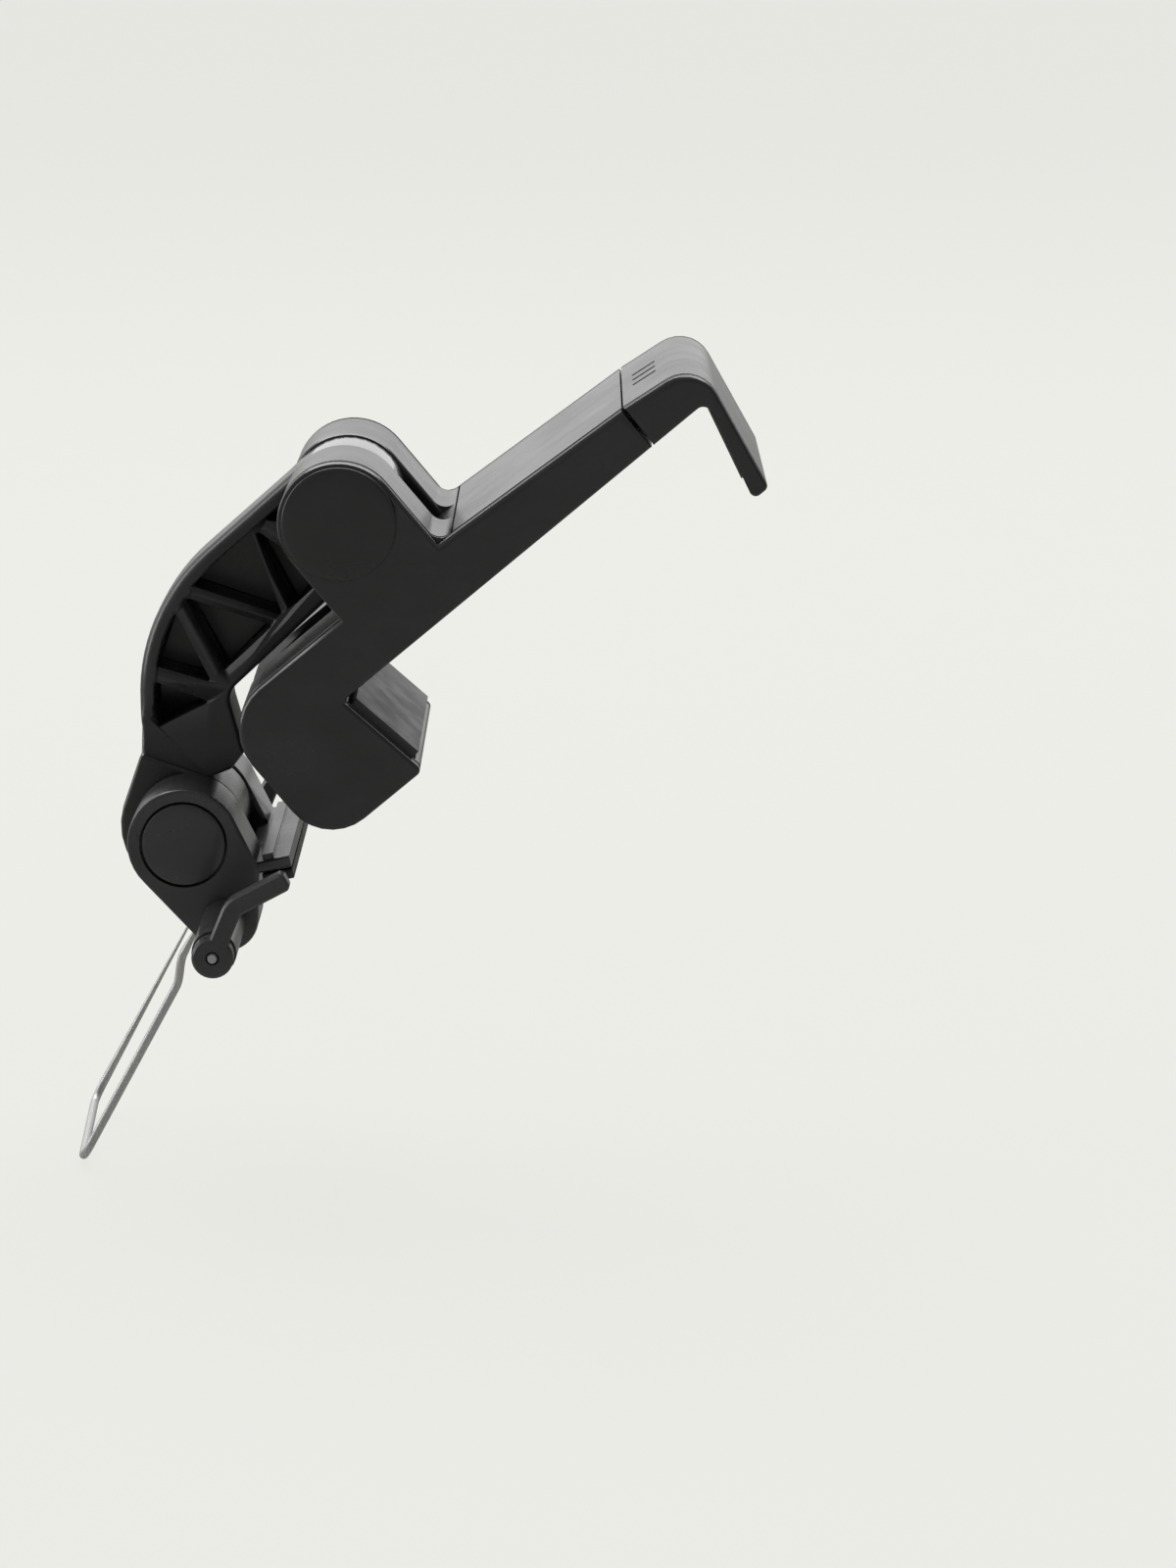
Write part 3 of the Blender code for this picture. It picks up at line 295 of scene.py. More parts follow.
# %% [markdown]
# ## Satin moulded plastic
# The clip is moulded in black plastic from a mould that was sparked to a fine, even grain.
# The grain is far smaller than a pixel, but it scatters the highlight, so a shallow bump on
# a fine noise is laid under a gloss that varies a little where wear has polished the skin.
# Black plastic is never pure black: the colour moves by a shade between two greys. The
# polished knuckle is the same plastic under a clear coat, because it stays dark inside.

# %% The plastic's recipe
GREEN_SHARE = 0.97
DARK_BLUE_SHARE = 1.02
LIGHT_BLUE_SHARE = 1.03
# Painted shade: the near-black colour of the jaw's recess floors, where shade falls.
RECESS_PAINTED_SHADE = (0.003, 0.003, 0.003)
PLASTIC_IOR = 1.55
KNUCKLE_COAT_IOR = 1.75
KNUCKLE_COAT_ROUGHNESS = 0.06
FLOW_SCALE = (60.0, 260.0, 260.0)


def moulded(name, greys, gloss_ends, grain, depth=0.000018, coated=False, shaded_recesses=False, rimmed=False):
    """Grained black plastic between two greys, with its roughness between two ends."""
    dark, light = greys
    smooth, rough = gloss_ends
    bench = Bench(name)
    cloud = bench.noise(90.0, 4.0)
    fine = bench.noise(grain, 3.0)
    flow = bench.noise(1.0, 3.0, bench.stretched(FLOW_SCALE, (0.0, CLAMP_LEAN, 0.0)))
    shade = cloud.between(0.35, 0.7) * 0.6 + flow.between(0.4, 0.75) * 0.4
    wear = cloud.between(0.3, 0.75) * 0.7 + flow.between(0.35, 0.8) * 0.3
    gloss = smooth + (rough - smooth) * wear
    swell = bench.bump(cloud, 0.00006, 0.15, bench.bump(fine, depth, 0.35))
    colour = bench.tint(
        shade,
        (dark, dark * GREEN_SHARE, dark * DARK_BLUE_SHARE),
        (light, light * GREEN_SHARE, light * LIGHT_BLUE_SHARE),
    )
    if rimmed:
        swell = bench.bump(rim_groove(bench), 1.0, 1.0, swell)
    # Painted shade: the recess floors are coloured near black for the shade that falls in them, and made
    # fully rough.
    if shaded_recesses:
        sunk = recess_shade_mask(bench)
        colour = bench.tint(sunk, colour, RECESS_PAINTED_SHADE)
        gloss = gloss * (1.0 - sunk) + sunk
    coat = {}
    if coated:
        coat = {"Coat_Weight": on_knuckle(bench), "Coat_Roughness": KNUCKLE_COAT_ROUGHNESS,
                "Coat_IOR": KNUCKLE_COAT_IOR}
    return bench.finish(Base_Color=colour, Roughness=gloss, Normal=swell, IOR=PLASTIC_IOR, **coat)


print("plastic recipe ready")

# %% [markdown]
# ## One recipe, six plastics
# The picture shows slightly different blacks: the base is the lightest, the caps are the
# darkest and dullest, and the claws and the arm have a coarser grain than the clamp. The
# lighter greys of the base, the lower caps and the claws are painted light, standing in for the
# light that the pale host, which is left out, throws up onto the lower parts. Each is the same
# recipe with its own greys, its own ends of the roughness and its own grain.

# %% The plastics
body_plastic = moulded("satin_black_moulding", (0.021, 0.029), (0.20, 0.30), 5200.0, rimmed=True)
# Painted light: the claws' greys are lighter than the clamp's, for light thrown up from the pale host
# below.
claw_plastic_painted_light = moulded("claw_moulding_painted_lighter", (0.028, 0.038), (0.24, 0.34), 4600.0)
arm_plastic = moulded("arm_with_polished_knuckle", (0.020, 0.028), (0.24, 0.34), 4600.0, coated=True)
cap_plastic = moulded("cap_black_moulding", (0.018, 0.024), (0.26, 0.38), 6400.0, 0.000014)
# Painted shade: the jaw's material colours the floors of its three recesses near black.
jaw_plastic = moulded("jaw_moulding_painted_shade", (0.021, 0.029), (0.20, 0.30), 5200.0, shaded_recesses=True, rimmed=True)
# Painted light: the base's greys are the lightest, for light thrown up from the pale host below.
base_plastic_painted_light = moulded("base_moulding_painted_lighter", (0.032, 0.044), (0.22, 0.32), 5200.0)
for plastic in (body_plastic, claw_plastic_painted_light, arm_plastic, cap_plastic, jaw_plastic, base_plastic_painted_light):
    print("plastic:", plastic.name)

# %% [markdown]
# ## Soft rubber
# The pads that touch the phone and the host are soft rubber: duller than the plastic, with a
# pebbled skin and a little dust in its hollows. A cell pattern gives the pebbles and a cloud
# gives the dust. The phone's pads are lighter than the plastic, and the foot pad is as dark,
# as painted shade: its greys are lowered for the shade that the host, which is left out, casts.

# %% The rubber
RUBBER_BLUE_SHARE = 1.02
PEBBLE_DEPTH = 0.00002


def pebbled(name, scale, dark, light):
    """Pebbled rubber with a little dust in its hollows, between two greys."""
    bench = Bench(name)
    cells = bench.cells(scale)
    cloud = bench.noise(260.0, 5.0)
    dust = cloud.between(0.5, 0.8) * 0.5 + cells.between(0.3, 0.8) * 0.3
    greys = [(grey, grey, grey * RUBBER_BLUE_SHARE) for grey in (dark, light)]
    return bench.finish(
        Base_Color=bench.tint(dust, *greys),
        Roughness=0.38 + 0.14 * cloud.between(0.3, 0.7),
        Normal=bench.bump(1.0 - cells, PEBBLE_DEPTH, 0.2, bench.bump(cloud, PEBBLE_DEPTH, 0.2)),
    )


pad_rubber = pebbled("pebbled_rubber", 2600.0, 0.055, 0.090)
# Painted shade: the foot pad's darker greys stand in for the shade that the host casts on it.
foot_rubber_painted_shade = pebbled("foot_rubber_painted_shade", 2200.0, 0.014, 0.026)
print("rubber:", pad_rubber.name, foot_rubber_painted_shade.name)

# %% [markdown]
# ## Satin wire and plated screws
# The bail is drawn wire with a satin skin. Drawing pulls fine lines along the wire, so its
# grain is a noise that is stretched along the way it runs. A thin wire mirrors the whole
# room at once, so it looks grey, and being half metallic keeps that grey even. The screws
# are zinc plated: brighter, with a crystal bloom in place of the lines.

# %% The metals
BAIL_LEAN = math.radians(28.5)
DRAWN_SCALE = (7000.0, 7000.0, 160.0)


def drawn(name, colour, dull, turn):
    """Satin wire with fine lines along it, from one bright colour and its roughness."""
    bench = Bench(name)
    lines = bench.noise(1.0, 3.0, bench.stretched(DRAWN_SCALE, turn))
    spots = bench.noise(700.0, 3.0)
    shade = lines.between(0.35, 0.7)
    return bench.finish(
        Base_Color=bench.tint(shade, [part * 0.82 for part in colour], colour),
        Metallic=0.55,
        Roughness=dull + 0.10 * spots.between(0.4, 0.8) + 0.06 * shade,
        Normal=bench.bump(lines, 0.000012, 0.35),
    )


def plated(name, colour, dull):
    """Plated steel with a crystal bloom, from one bright colour and its roughness."""
    bench = Bench(name)
    crystals = bench.cells(1500.0)
    haze = bench.noise(500.0, 3.0)
    return bench.finish(
        Base_Color=bench.tint(crystals.between(0.2, 0.8), [part * 0.88 for part in colour], colour),
        Metallic=1.0,
        Roughness=dull + 0.14 * haze.between(0.35, 0.75),
        Normal=bench.bump(crystals, 0.000010, 0.25),
    )


wire_steel = drawn("drawn_spring_wire", (0.52, 0.52, 0.515), 0.34, (0.0, -BAIL_LEAN, 0.0))
screw_steel = plated("zinc_plated_steel", (0.66, 0.67, 0.69), 0.24)
print("metals:", wire_steel.name, screw_steel.name)

# %% [markdown]
# ## From a mesh to a piece
# Every visible piece takes the same four steps. Its faces become a mesh, the mesh is shaded
# smooth apart from real creases, an object carries it, and the object rides on its body while
# the solids that it stands for are hidden. Each step is one short helper here.

# %% Helpers for meshes and pieces
BODIES = frame["record"]["behaviour"]["bodies"]
BODY_OF = {node: body for body, nodes in BODIES.items() for node in nodes}


def as_mesh(shape, name):
    """A finished bmesh as a plain mesh."""
    mesh = bpy.data.meshes.new(name)
    shape.to_mesh(mesh)
    shape.free()
    return mesh


def smooth(mesh, crease):
    """Shade a mesh smooth, apart from edges where it turns by more than the crease."""
    mesh.shade_smooth()
    mesh.set_sharp_from_angle(angle=crease)


def placed(name, mesh):
    """A mesh as a new object of the scene."""
    item = bpy.data.objects.new(name, mesh)
    bpy.context.scene.collection.objects.link(item)
    return item


def baked(holder, helpers=()):
    """The mesh that an object's modifiers give. The object and its helpers are deleted."""
    graph = bpy.context.evaluated_depsgraph_get()
    result = bpy.data.meshes.new_from_object(holder.evaluated_get(graph))
    for item in (holder, *helpers):
        bpy.data.objects.remove(item, do_unlink=True)
    return result


def seat(piece, body, *nodes):
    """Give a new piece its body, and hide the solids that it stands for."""
    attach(piece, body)
    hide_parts(*nodes)
    print(piece.name, "faces:", len(piece.data.polygons))


print("bodies:", sorted(BODIES))

# %% [markdown]
# ## The round back of the arm
# The outer edge of the truss arm is rounded over far more than its other edges, and a soft
# light runs down that round. Two cutters take the corners off. Each follows the arm's back,
# first along its arc and then on along the tangent that meets the knuckle, so the first
# step is a list of stations along that line.

# %% Stations along the arm's back
ARM_BOW = 0.0156
NECK_ALONG = 0.0088
SPINE_RADIUS = 0.0253
ARC_STEPS = 16
LINE_STEPS = 6
LINE_SHARE = 0.97
SPINE_CENTRE = Vector((ARM_LENGTH / 2.0, ARM_BOW - SPINE_RADIUS))
KNUCKLE_AWAY = (Vector((ARM_LENGTH, 0.0)) - SPINE_CENTRE).length
RADIUS_STEP = SPINE_RADIUS - KNUCKLE_RADIUS
SPINE_START = math.acos((NECK_ALONG - SPINE_CENTRE.x) / SPINE_RADIUS)
SPINE_END = math.acos(RADIUS_STEP / KNUCKLE_AWAY) + math.atan2(-SPINE_CENTRE.y, ARM_LENGTH / 2.0)
LINE_LENGTH = math.sqrt(KNUCKLE_AWAY ** 2 - RADIUS_STEP ** 2) * LINE_SHARE


def spine_stations():
    """Points along the arm's back as (distance run, point, outward direction)."""
    stations = []
    for step in range(ARC_STEPS + 1):
        angle = SPINE_START + (SPINE_END - SPINE_START) * step / ARC_STEPS
        outward = Vector((math.cos(angle), math.sin(angle)))
        point = SPINE_CENTRE + outward * SPINE_RADIUS
        stations.append((SPINE_RADIUS * (SPINE_START - angle), point, outward))
    run, corner, outward = stations[-1]
    onward = Vector((outward.y, -outward.x))
    for step in range(1, LINE_STEPS + 1):
        more = LINE_LENGTH * step / LINE_STEPS
        stations.append((run + more, corner + onward * more, outward))
    return stations


print("arm's back, mm:", round(1000.0 * spine_stations()[-1][0], 1))

# %% [markdown]
# ## Cutters for the arm's two outer edges
# A cutter's profile is a corner less a quarter circle. It grows from almost nothing at each
# end, so the round dies out softly instead of ending in a step. A Boolean takes real material
# away, and so the outline and the light change together, as on the moulded arm.

# %% The two cutters
ARM_HALF = 0.0045
SPINE_ROUND = 0.0017
ROUND_RISE = 0.0028
ROUND_LEAST = 0.02
ROUND_STEPS = 7
CUTTER_PAST = 0.0006


def cutter_profile(radius):
    """A corner less a quarter circle, as (outward, across) pairs from the arm's edge."""
    corner = [(CUTTER_PAST, -radius), (CUTTER_PAST, CUTTER_PAST), (-radius, CUTTER_PAST)]
    for step in range(ROUND_STEPS, -1, -1):
        turn = 0.5 * math.pi * step / ROUND_STEPS
        corner.append((radius * (math.cos(turn) - 1.0), radius * (math.sin(turn) - 1.0)))
    return corner


def spine_cutter(side):
    """The piece to take off along one outer edge of the arm, as an object."""
    stations = spine_stations()
    shape = bmesh.new()
    rings = []
    for run, point, outward in stations:
        to_end = min(run, stations[-1][0] - run)
        fade = min(1.0, to_end / ROUND_RISE + ROUND_LEAST)
        ring = []
        for out, across in cutter_profile(SPINE_ROUND * fade):
            place = point + outward * out
            local = Vector((place.x, side * (ARM_HALF + across), place.y))
            ring.append(shape.verts.new(ON_ARM @ local))
        rings.append(ring)
    for one, two in zip(rings, rings[1:]):
        for step in range(len(one)):
            after = (step + 1) % len(one)
            shape.faces.new((one[step], one[after], two[after], two[step]))
    for end in (rings[0], rings[-1]):
        shape.faces.new(end)
    bmesh.ops.recalc_face_normals(shape, faces=shape.faces)
    return placed("spine_cutter", as_mesh(shape, "spine_cutter"))


def less_cutters(mesh, cutters):
    """A mesh with cutters taken off it. The cutters are deleted."""
    holder = placed("holder", mesh)
    for cutter in cutters:
        step = holder.modifiers.new("cut", "BOOLEAN")
        step.operation = "DIFFERENCE"
        step.solver = "EXACT"
        step.object = cutter
    return baked(holder, cutters)


print("points in a cutter's profile:", len(cutter_profile(SPINE_ROUND)))

# %% [markdown]
# ## Smooth shading for the moulded pieces
# A solid arrives as loose flat triangles. Moulded plastic has soft radii, and flat triangles
# would show them as facets. A copy of each piece is merged into one skin and shaded smooth,
# with creases only where two faces meet at a real angle. Its normals are then weighted by
# area, so that a wide flat face stays flat beside a round. The copy stands in the solid's
# place, rides on the same body, and takes its finish.

# %% How a solid is dressed
MOULD_CREASE = math.radians(32.0)
FLAT_WITHIN = math.radians(0.5)
MERGE_WITHIN = 1e-6
# Painted light: the saddle's plastic and the claws' plastic are lightened for light from the pale host
# below.
FINISHES = {
    "saddle": base_plastic_painted_light, "clamp_body": body_plastic, "sliding_jaw": jaw_plastic,
    "beam_cover": body_plastic, "truss_arm": arm_plastic, "claw_near": claw_plastic_painted_light,
    "claw_far": claw_plastic_painted_light, "foot_pad": foot_rubber_painted_shade,
}


def finish_for(node):
    """The material of a node, by its own name or by what kind of piece it is."""
    if node in FINISHES:
        return FINISHES[node]
    if "pad" in node:
        return pad_rubber
    if "spring" in node:
        return wire_steel
    return screw_steel


def level_shading(skin):
    """The mesh with its normals weighted by face area, so that wide flat faces stay flat."""
    holder = placed("holder", skin)
    weighted = holder.modifiers.new("weighted", "WEIGHTED_NORMAL")
    weighted.keep_sharp = True
    weighted.weight = 100
    return baked(holder)


def dress(node):
    """A merged and smoothly shaded copy of a node, in the node's place."""
    shape = bmesh.new()
    source = frame["nodes"][node].data
    rounded = node == "truss_arm"
    if rounded:
        source = less_cutters(source.copy(), [spine_cutter(-1), spine_cutter(1)])
    shape.from_mesh(source)
    bmesh.ops.remove_doubles(shape, verts=shape.verts, dist=MERGE_WITHIN)
    # The cut arm keeps its triangles, because one large face with many corners shades unevenly.
    if not rounded:
        bmesh.ops.dissolve_limit(shape, angle_limit=FLAT_WITHIN, verts=shape.verts, edges=shape.edges)
    skin = as_mesh(shape, node + "_skin")
    skin.materials.clear()
    skin.materials.append(finish_for(node))
    smooth(skin, MOULD_CREASE)
    piece = placed(node + "_skin", level_shading(skin))
    seat(piece, BODY_OF[node], node)


print("named finishes:", len(FINISHES))

# %% [markdown]
# ## Which pieces are dressed
# Most pieces keep the form of their solid. The wire, the springs, the screws, the caps and the
# ribbed pad repeat a finer form, so later cells draw those again from a rule.

# %% Dress every other piece
RULED = ["wire_bail", "jaw_spring_near", "jaw_spring_far", "back_pad"]
RULED += [f"{hinge}_hinge_cap_{word}" for hinge in ("upper", "lower") for word in ("near", "far")]
RULED += [f"cover_screw_{number}" for number in range(1, 5)]
dressed_nodes = sorted(set(frame["nodes"]) - set(RULED))
for node in dressed_nodes:
    dress(node)
print("dressed pieces:", len(dressed_nodes))

# %% [markdown]
# ## The domed hinge caps
# A round cap closes each end of both hinges. Each is a turned form: a plug and a crown that is
# nearly flat in the middle and falls off softly at the rim. The crown is a superellipse, which
# one exponent takes from a dome to a flat disc. The upper caps have a thin brim over the joint.

# %% How a cap is turned
CAP_STEPS = 96
CROWN_POWER = 3.2
CROWN_RINGS = 14
RULED_CREASE = math.radians(40.0)


def cap_outline(plug, inside, brim, start, crown):
    """Half of a cap's outline, as (radius, distance across) pairs from the inside out."""
    outline = [(0.0, inside), (plug, inside)] + ([(plug, start)] if brim > plug else [])
    for ring in range(CROWN_RINGS):
        turn = 0.5 * math.pi * ring / CROWN_RINGS
        radius = brim * math.cos(turn) ** (2.0 / CROWN_POWER)
        outline.append((radius, start + (crown - start) * math.sin(turn) ** (2.0 / CROWN_POWER)))
    return outline + [(0.0, crown)]


def turned(name, outline, centre, side, finish):
    """An outline of (radius, distance across) pairs, carried round an axis along Y."""
    shape = bmesh.new()
    turns = [2.0 * math.pi * step / CAP_STEPS for step in range(CAP_STEPS)]
    last = None
    for radius, across in outline:
        hub = centre + Vector((0.0, side * across, 0.0))
        if radius == 0.0:
            ring = [shape.verts.new(hub)] * CAP_STEPS
        else:
            spokes = [Vector((radius * math.cos(turn), 0.0, radius * math.sin(turn))) for turn in turns]
            ring = [shape.verts.new(hub + spoke) for spoke in spokes]
        for step in range(CAP_STEPS if last else 0):
            after = (step + 1) % CAP_STEPS
            corners = list(dict.fromkeys((last[step], last[after], ring[after], ring[step])))
            shape.faces.new(corners)
        last = ring
    bmesh.ops.recalc_face_normals(shape, faces=shape.faces)
    skin = as_mesh(shape, name)
    skin.materials.append(finish)
    smooth(skin, RULED_CREASE)
    return placed(name, skin)


UPPER_CAP = cap_outline(plug=0.00655, inside=0.01895, brim=0.00715, start=0.02003, crown=0.02068)
LOWER_CAP = cap_outline(plug=0.00530, inside=0.01490, brim=0.00530, start=0.01572, crown=0.01640)
print("upper cap, mm:", round(2000.0 * UPPER_CAP[-2][0], 1), "across the top of its crown")

# %% [markdown]
# ## Four caps from two outlines
# The near and the far cap of a hinge are mirror images, so one outline serves both. The
# lower caps sit inside the saddle's ears and share the base's black, which is lightened as
# painted light for the light thrown up from the pale host below.

# %% Turn the four caps
HINGES = (
    ("upper", UPPER_CAP, UPPER_HINGE, cap_plastic),
    # Painted light: the lower caps take the base's lightened plastic.
    ("lower", LOWER_CAP, LOWER_HINGE, base_plastic_painted_light),
)
for side, word in ((-1, "near"), (1, "far")):
    for hinge, outline, centre, finish in HINGES:
        node = f"{hinge}_hinge_cap_{word}"
        cap = turned(f"domed_{hinge}_cap_{word}", outline, centre, side, finish)
        seat(cap, BODY_OF[node], node)

# %% [markdown]
# ## Shapes that follow a rule
# Wire runs along a path, small screws repeat, and ribs repeat along a pad. Geometry Nodes
# draw such shapes well, because each size stays one number. This class builds a tree with
# named inputs, runs it on a seed mesh, and keeps the result as a plain mesh, because a live
# tree is lost when the model leaves this scene.

# %% A bench for Geometry Nodes
class Shaper:
    """One Geometry Nodes tree under construction."""

    def __init__(self, name, sizes):
        self.tree = bpy.data.node_groups.new(name, "GeometryNodeTree")
        face = self.tree.interface
        face.new_socket("Geometry", in_out="OUTPUT", socket_type="NodeSocketGeometry")
        face.new_socket("Geometry", in_out="INPUT", socket_type="NodeSocketGeometry")
        self.keys = {}
        for label, kind in sizes.items():
            socket = face.new_socket(label, in_out="INPUT", socket_type="NodeSocket" + kind)
            self.keys[label] = socket.identifier
        self.given = self.tree.nodes.new("NodeGroupInput")

    def size(self, label):
        """The socket of a named input."""
        return self.given.outputs[label]

    def node(self, kind, settings, sockets, output=0):
        """Add a node: first its settings, then the values or links of its sockets."""
        added = self.tree.nodes.new(kind)
        for key, value in settings.items():
            setattr(added, key, value)
        for key, value in sockets.items():
            for item in value if isinstance(value, list) else [value]:
                if isinstance(item, bpy.types.NodeSocket):
                    self.tree.links.new(item, added.inputs[key])
                else:
                    added.inputs[key].default_value = item
        return added.outputs[output]

    def maths(self, operation, first, second):
        """A Math node on two values."""
        return self.node("ShaderNodeMath", {"operation": operation}, {0: first, 1: second})

    def vector(self, **parts):
        """Three sizes as one vector. A part that isn't given is zero."""
        return self.node("ShaderNodeCombineXYZ", {}, parts)

    def cylinder(self, corners, radius, depth):
        """An upright cylinder round the origin."""
        sockets = {"Vertices": corners, "Radius": radius, "Depth": depth}
        return self.node("GeometryNodeMeshCylinder", {}, sockets)

    def tube(self, path, radius, sides):
        """A circle carried along a curve."""
        sockets = {"Resolution": sides, "Radius": radius}
        circle = self.node("GeometryNodeCurvePrimitiveCircle", {"mode": "RADIUS"}, sockets)
        sockets = {"Curve": path, "Profile Curve": circle, "Fill Caps": True}
        return self.node("GeometryNodeCurveToMesh", {}, sockets)

    def moved(self, geometry, **change):
        """A geometry after a Translation or a Rotation."""
        return self.node("GeometryNodeTransform", {}, {"Geometry": geometry, **change})

    def joined(self, *parts):
        """Several geometries as one."""
        return self.node("GeometryNodeJoinGeometry", {}, {"Geometry": list(parts)})

    def on_points(self, points, geometry):
        """A copy of a geometry on every point."""
        sockets = {"Points": points, "Instance": geometry}
        return self.node("GeometryNodeInstanceOnPoints", {}, sockets)

    def finish(self, geometry, material):
        """End the tree: instances made real, then the material."""
        real = self.node("GeometryNodeRealizeInstances", {}, {"Geometry": geometry})
        painted = self.node("GeometryNodeSetMaterial", {}, {"Geometry": real, "Material": material})
        self.tree.links.new(painted, self.tree.nodes.new("NodeGroupOutput").inputs[0])

    def run(self, name, values, points=((0.0, 0.0, 0.0),), edges=(), place=None):
        """The tree's result on a seed of points and edges, as an object with a plain mesh."""
        seed_mesh = bpy.data.meshes.new(name + "_seed")
        seed_mesh.from_pydata([tuple(point) for point in points], edges, [])
        seed = placed(name + "_seed", seed_mesh)
        modifier = seed.modifiers.new("rule", "NODES")
        modifier.node_group = self.tree
        for label, value in values.items():
            modifier[self.keys[label]] = value
        skin = baked(seed)
        if place:
            skin.transform(place)
        smooth(skin, RULED_CREASE)
        return placed(name, skin)


print("geometry bench ready")

# %% [markdown]
# ## The wire bail
# The bail is one length of spring wire: an open eye round the pin, a leg with a small jog, a
# cross bar, and the second leg back to its own eye. A wire of even thickness is the
# simplest rule there is, a circle that is carried along a path, so the path is worked out
# here in fine steps, and the tree carries the circle.

# %% A tree that carries a circle along a path
BEND_STEPS = 14
wire_rule = Shaper("wire_along_path", {"Radius": "Float", "Sides": "Int"})
rail = wire_rule.node("GeometryNodeMeshToCurve", {}, {"Mesh": wire_rule.size("Geometry")})
swept = wire_rule.tube(rail, wire_rule.size("Radius"), wire_rule.size("Sides"))
wire_rule.finish(swept, wire_steel)


def bend(before, corner, after, radius):
    """Points of the arc that rounds a corner in space."""
    one = (before - corner).normalized()
    two = (after - corner).normalized()
    half = one.angle(two) / 2.0
    centre = corner + (one + two).normalized() * (radius / math.sin(half))
    first = corner + one * (radius / math.tan(half)) - centre
    last = corner + two * (radius / math.tan(half)) - centre
    shares = [step / BEND_STEPS for step in range(BEND_STEPS + 1)]
    return [centre + first.slerp(last, share) * radius for share in shares]


print("wire rule ready")

# %% [markdown]
# ## The bail's path
# Both legs hang from the claws' pin at one lean. Only the near leg has the jog, a short smooth
# step toward the clip that starts just below its eye. The step is a cubic that leaves and
# arrives without a kink. The cross bar joins the legs through two bends of equal radius.

# %% The bail's path and its wire
WIRE_RADIUS = 0.00055
WIRE_SIDES = 20
EYE_RADIUS = 0.0024
EYE_TURN = 300.0
EYE_STEPS = 40
BAIL_LENGTH = 0.0382
BAIL_HALF = 0.0130
BAIL_CORNER = 0.0026
JOG = 0.0012
JOG_START = 0.0071
JOG_LENGTH = 0.0047
JOG_STEPS = 12
DOWN = Vector((-math.sin(BAIL_LEAN), 0.0, -math.cos(BAIL_LEAN)))
OFF_LINE = Vector((-math.cos(BAIL_LEAN), 0.0, math.sin(BAIL_LEAN)))


def on_bail(along, off, across):
    """A point at a distance along the bail's leg, off its line, and across the clip."""
    return CLAW_PIN + DOWN * along + OFF_LINE * off + Vector((0.0, across, 0.0))


def eye(across):
    """The open eye at the end of a leg, from its tip round to where the leg starts."""
    turns = [math.radians(-EYE_TURN * (1.0 - step / EYE_STEPS)) for step in range(EYE_STEPS + 1)]
    return [on_bail(-EYE_RADIUS * math.sin(turn), EYE_RADIUS * math.cos(turn), across) for turn in turns]


near_leg = eye(-BAIL_HALF)
for step in range(JOG_STEPS + 1):
    share = step / JOG_STEPS
    shift = JOG * (3.0 * share ** 2 - 2.0 * share ** 3)
    near_leg.append(on_bail(JOG_START + JOG_LENGTH * share, EYE_RADIUS - shift, -BAIL_HALF))
far_leg = eye(BAIL_HALF)
low_near = on_bail(BAIL_LENGTH, EYE_RADIUS - JOG, -BAIL_HALF)
low_far = on_bail(BAIL_LENGTH, EYE_RADIUS, BAIL_HALF)
path = near_leg + bend(near_leg[-1], low_near, low_far, BAIL_CORNER)
path += bend(low_near, low_far, far_leg[-1], BAIL_CORNER) + far_leg[::-1]
links = [(step, step + 1) for step in range(len(path) - 1)]
bail = wire_rule.run("bent_wire_bail", {"Radius": WIRE_RADIUS, "Sides": WIRE_SIDES}, path, links)
seat(bail, "bail", "wire_bail")

# %% [markdown]
# ## The jaw springs
# Two tension springs pull the upper jaw shut inside the beam. A coil spring is a spiral with
# a wire round it, and Blender has a node for the spiral, so turns, radius and length are
# all that the tree asks for.

# %% A tree that winds a spring, and the two springs
SPRING_START = -0.01468
SPRING_END = -0.00222
SPRING_HEIGHT = -0.01438
SPRING_ACROSS = 0.0118
STEPS_A_TURN = 20
STRAND_SIDES = 8
SPRING_SIZES = {"Turns": 13.0, "Coil": 0.0011, "Length": SPRING_END - SPRING_START, "Wire": 0.00022}

coil_rule = Shaper("wound_spring", dict.fromkeys(SPRING_SIZES, "Float"))
spiral = coil_rule.node("GeometryNodeCurveSpiral", {}, {
    "Resolution": STEPS_A_TURN, "Rotations": coil_rule.size("Turns"),
    "Start Radius": coil_rule.size("Coil"), "End Radius": coil_rule.size("Coil"),
    "Height": coil_rule.size("Length")})
coil_rule.finish(coil_rule.tube(spiral, coil_rule.size("Wire"), STRAND_SIDES), wire_steel)

lie_down = Matrix.Rotation(math.pi / 2.0, 4, "Y")
for side, word in ((-1, "near"), (1, "far")):
    corner = Matrix.Translation((SPRING_START, side * SPRING_ACROSS, SPRING_HEIGHT))
    spring = coil_rule.run(f"wound_spring_{word}", SPRING_SIZES, place=ON_CLAMP @ corner @ lie_down)
    seat(spring, "jaw", f"jaw_spring_{word}")

# %% [markdown]
# ## Cover screws
# Four small screws hold the beam's cover from the phone's side. Each has a low round head
# with a cross recess. One head is made in the tree, the recess is cut from it with a
# Boolean, and it is set on every point of the seed.

# %% A tree that sets a cross-head screw on every point
RECESS_WIDTH_SHARE = 0.2
RECESS_SINK_SHARE = -0.55
HEAD_CORNERS = 40
SHANK_CORNERS = 20
HEAD_HEIGHT = 0.0004
SCREW_SIZES = {"Head": 0.0015, "Height": HEAD_HEIGHT, "Shank": 0.0007, "Reach": 0.0046, "Recess": 0.0017}

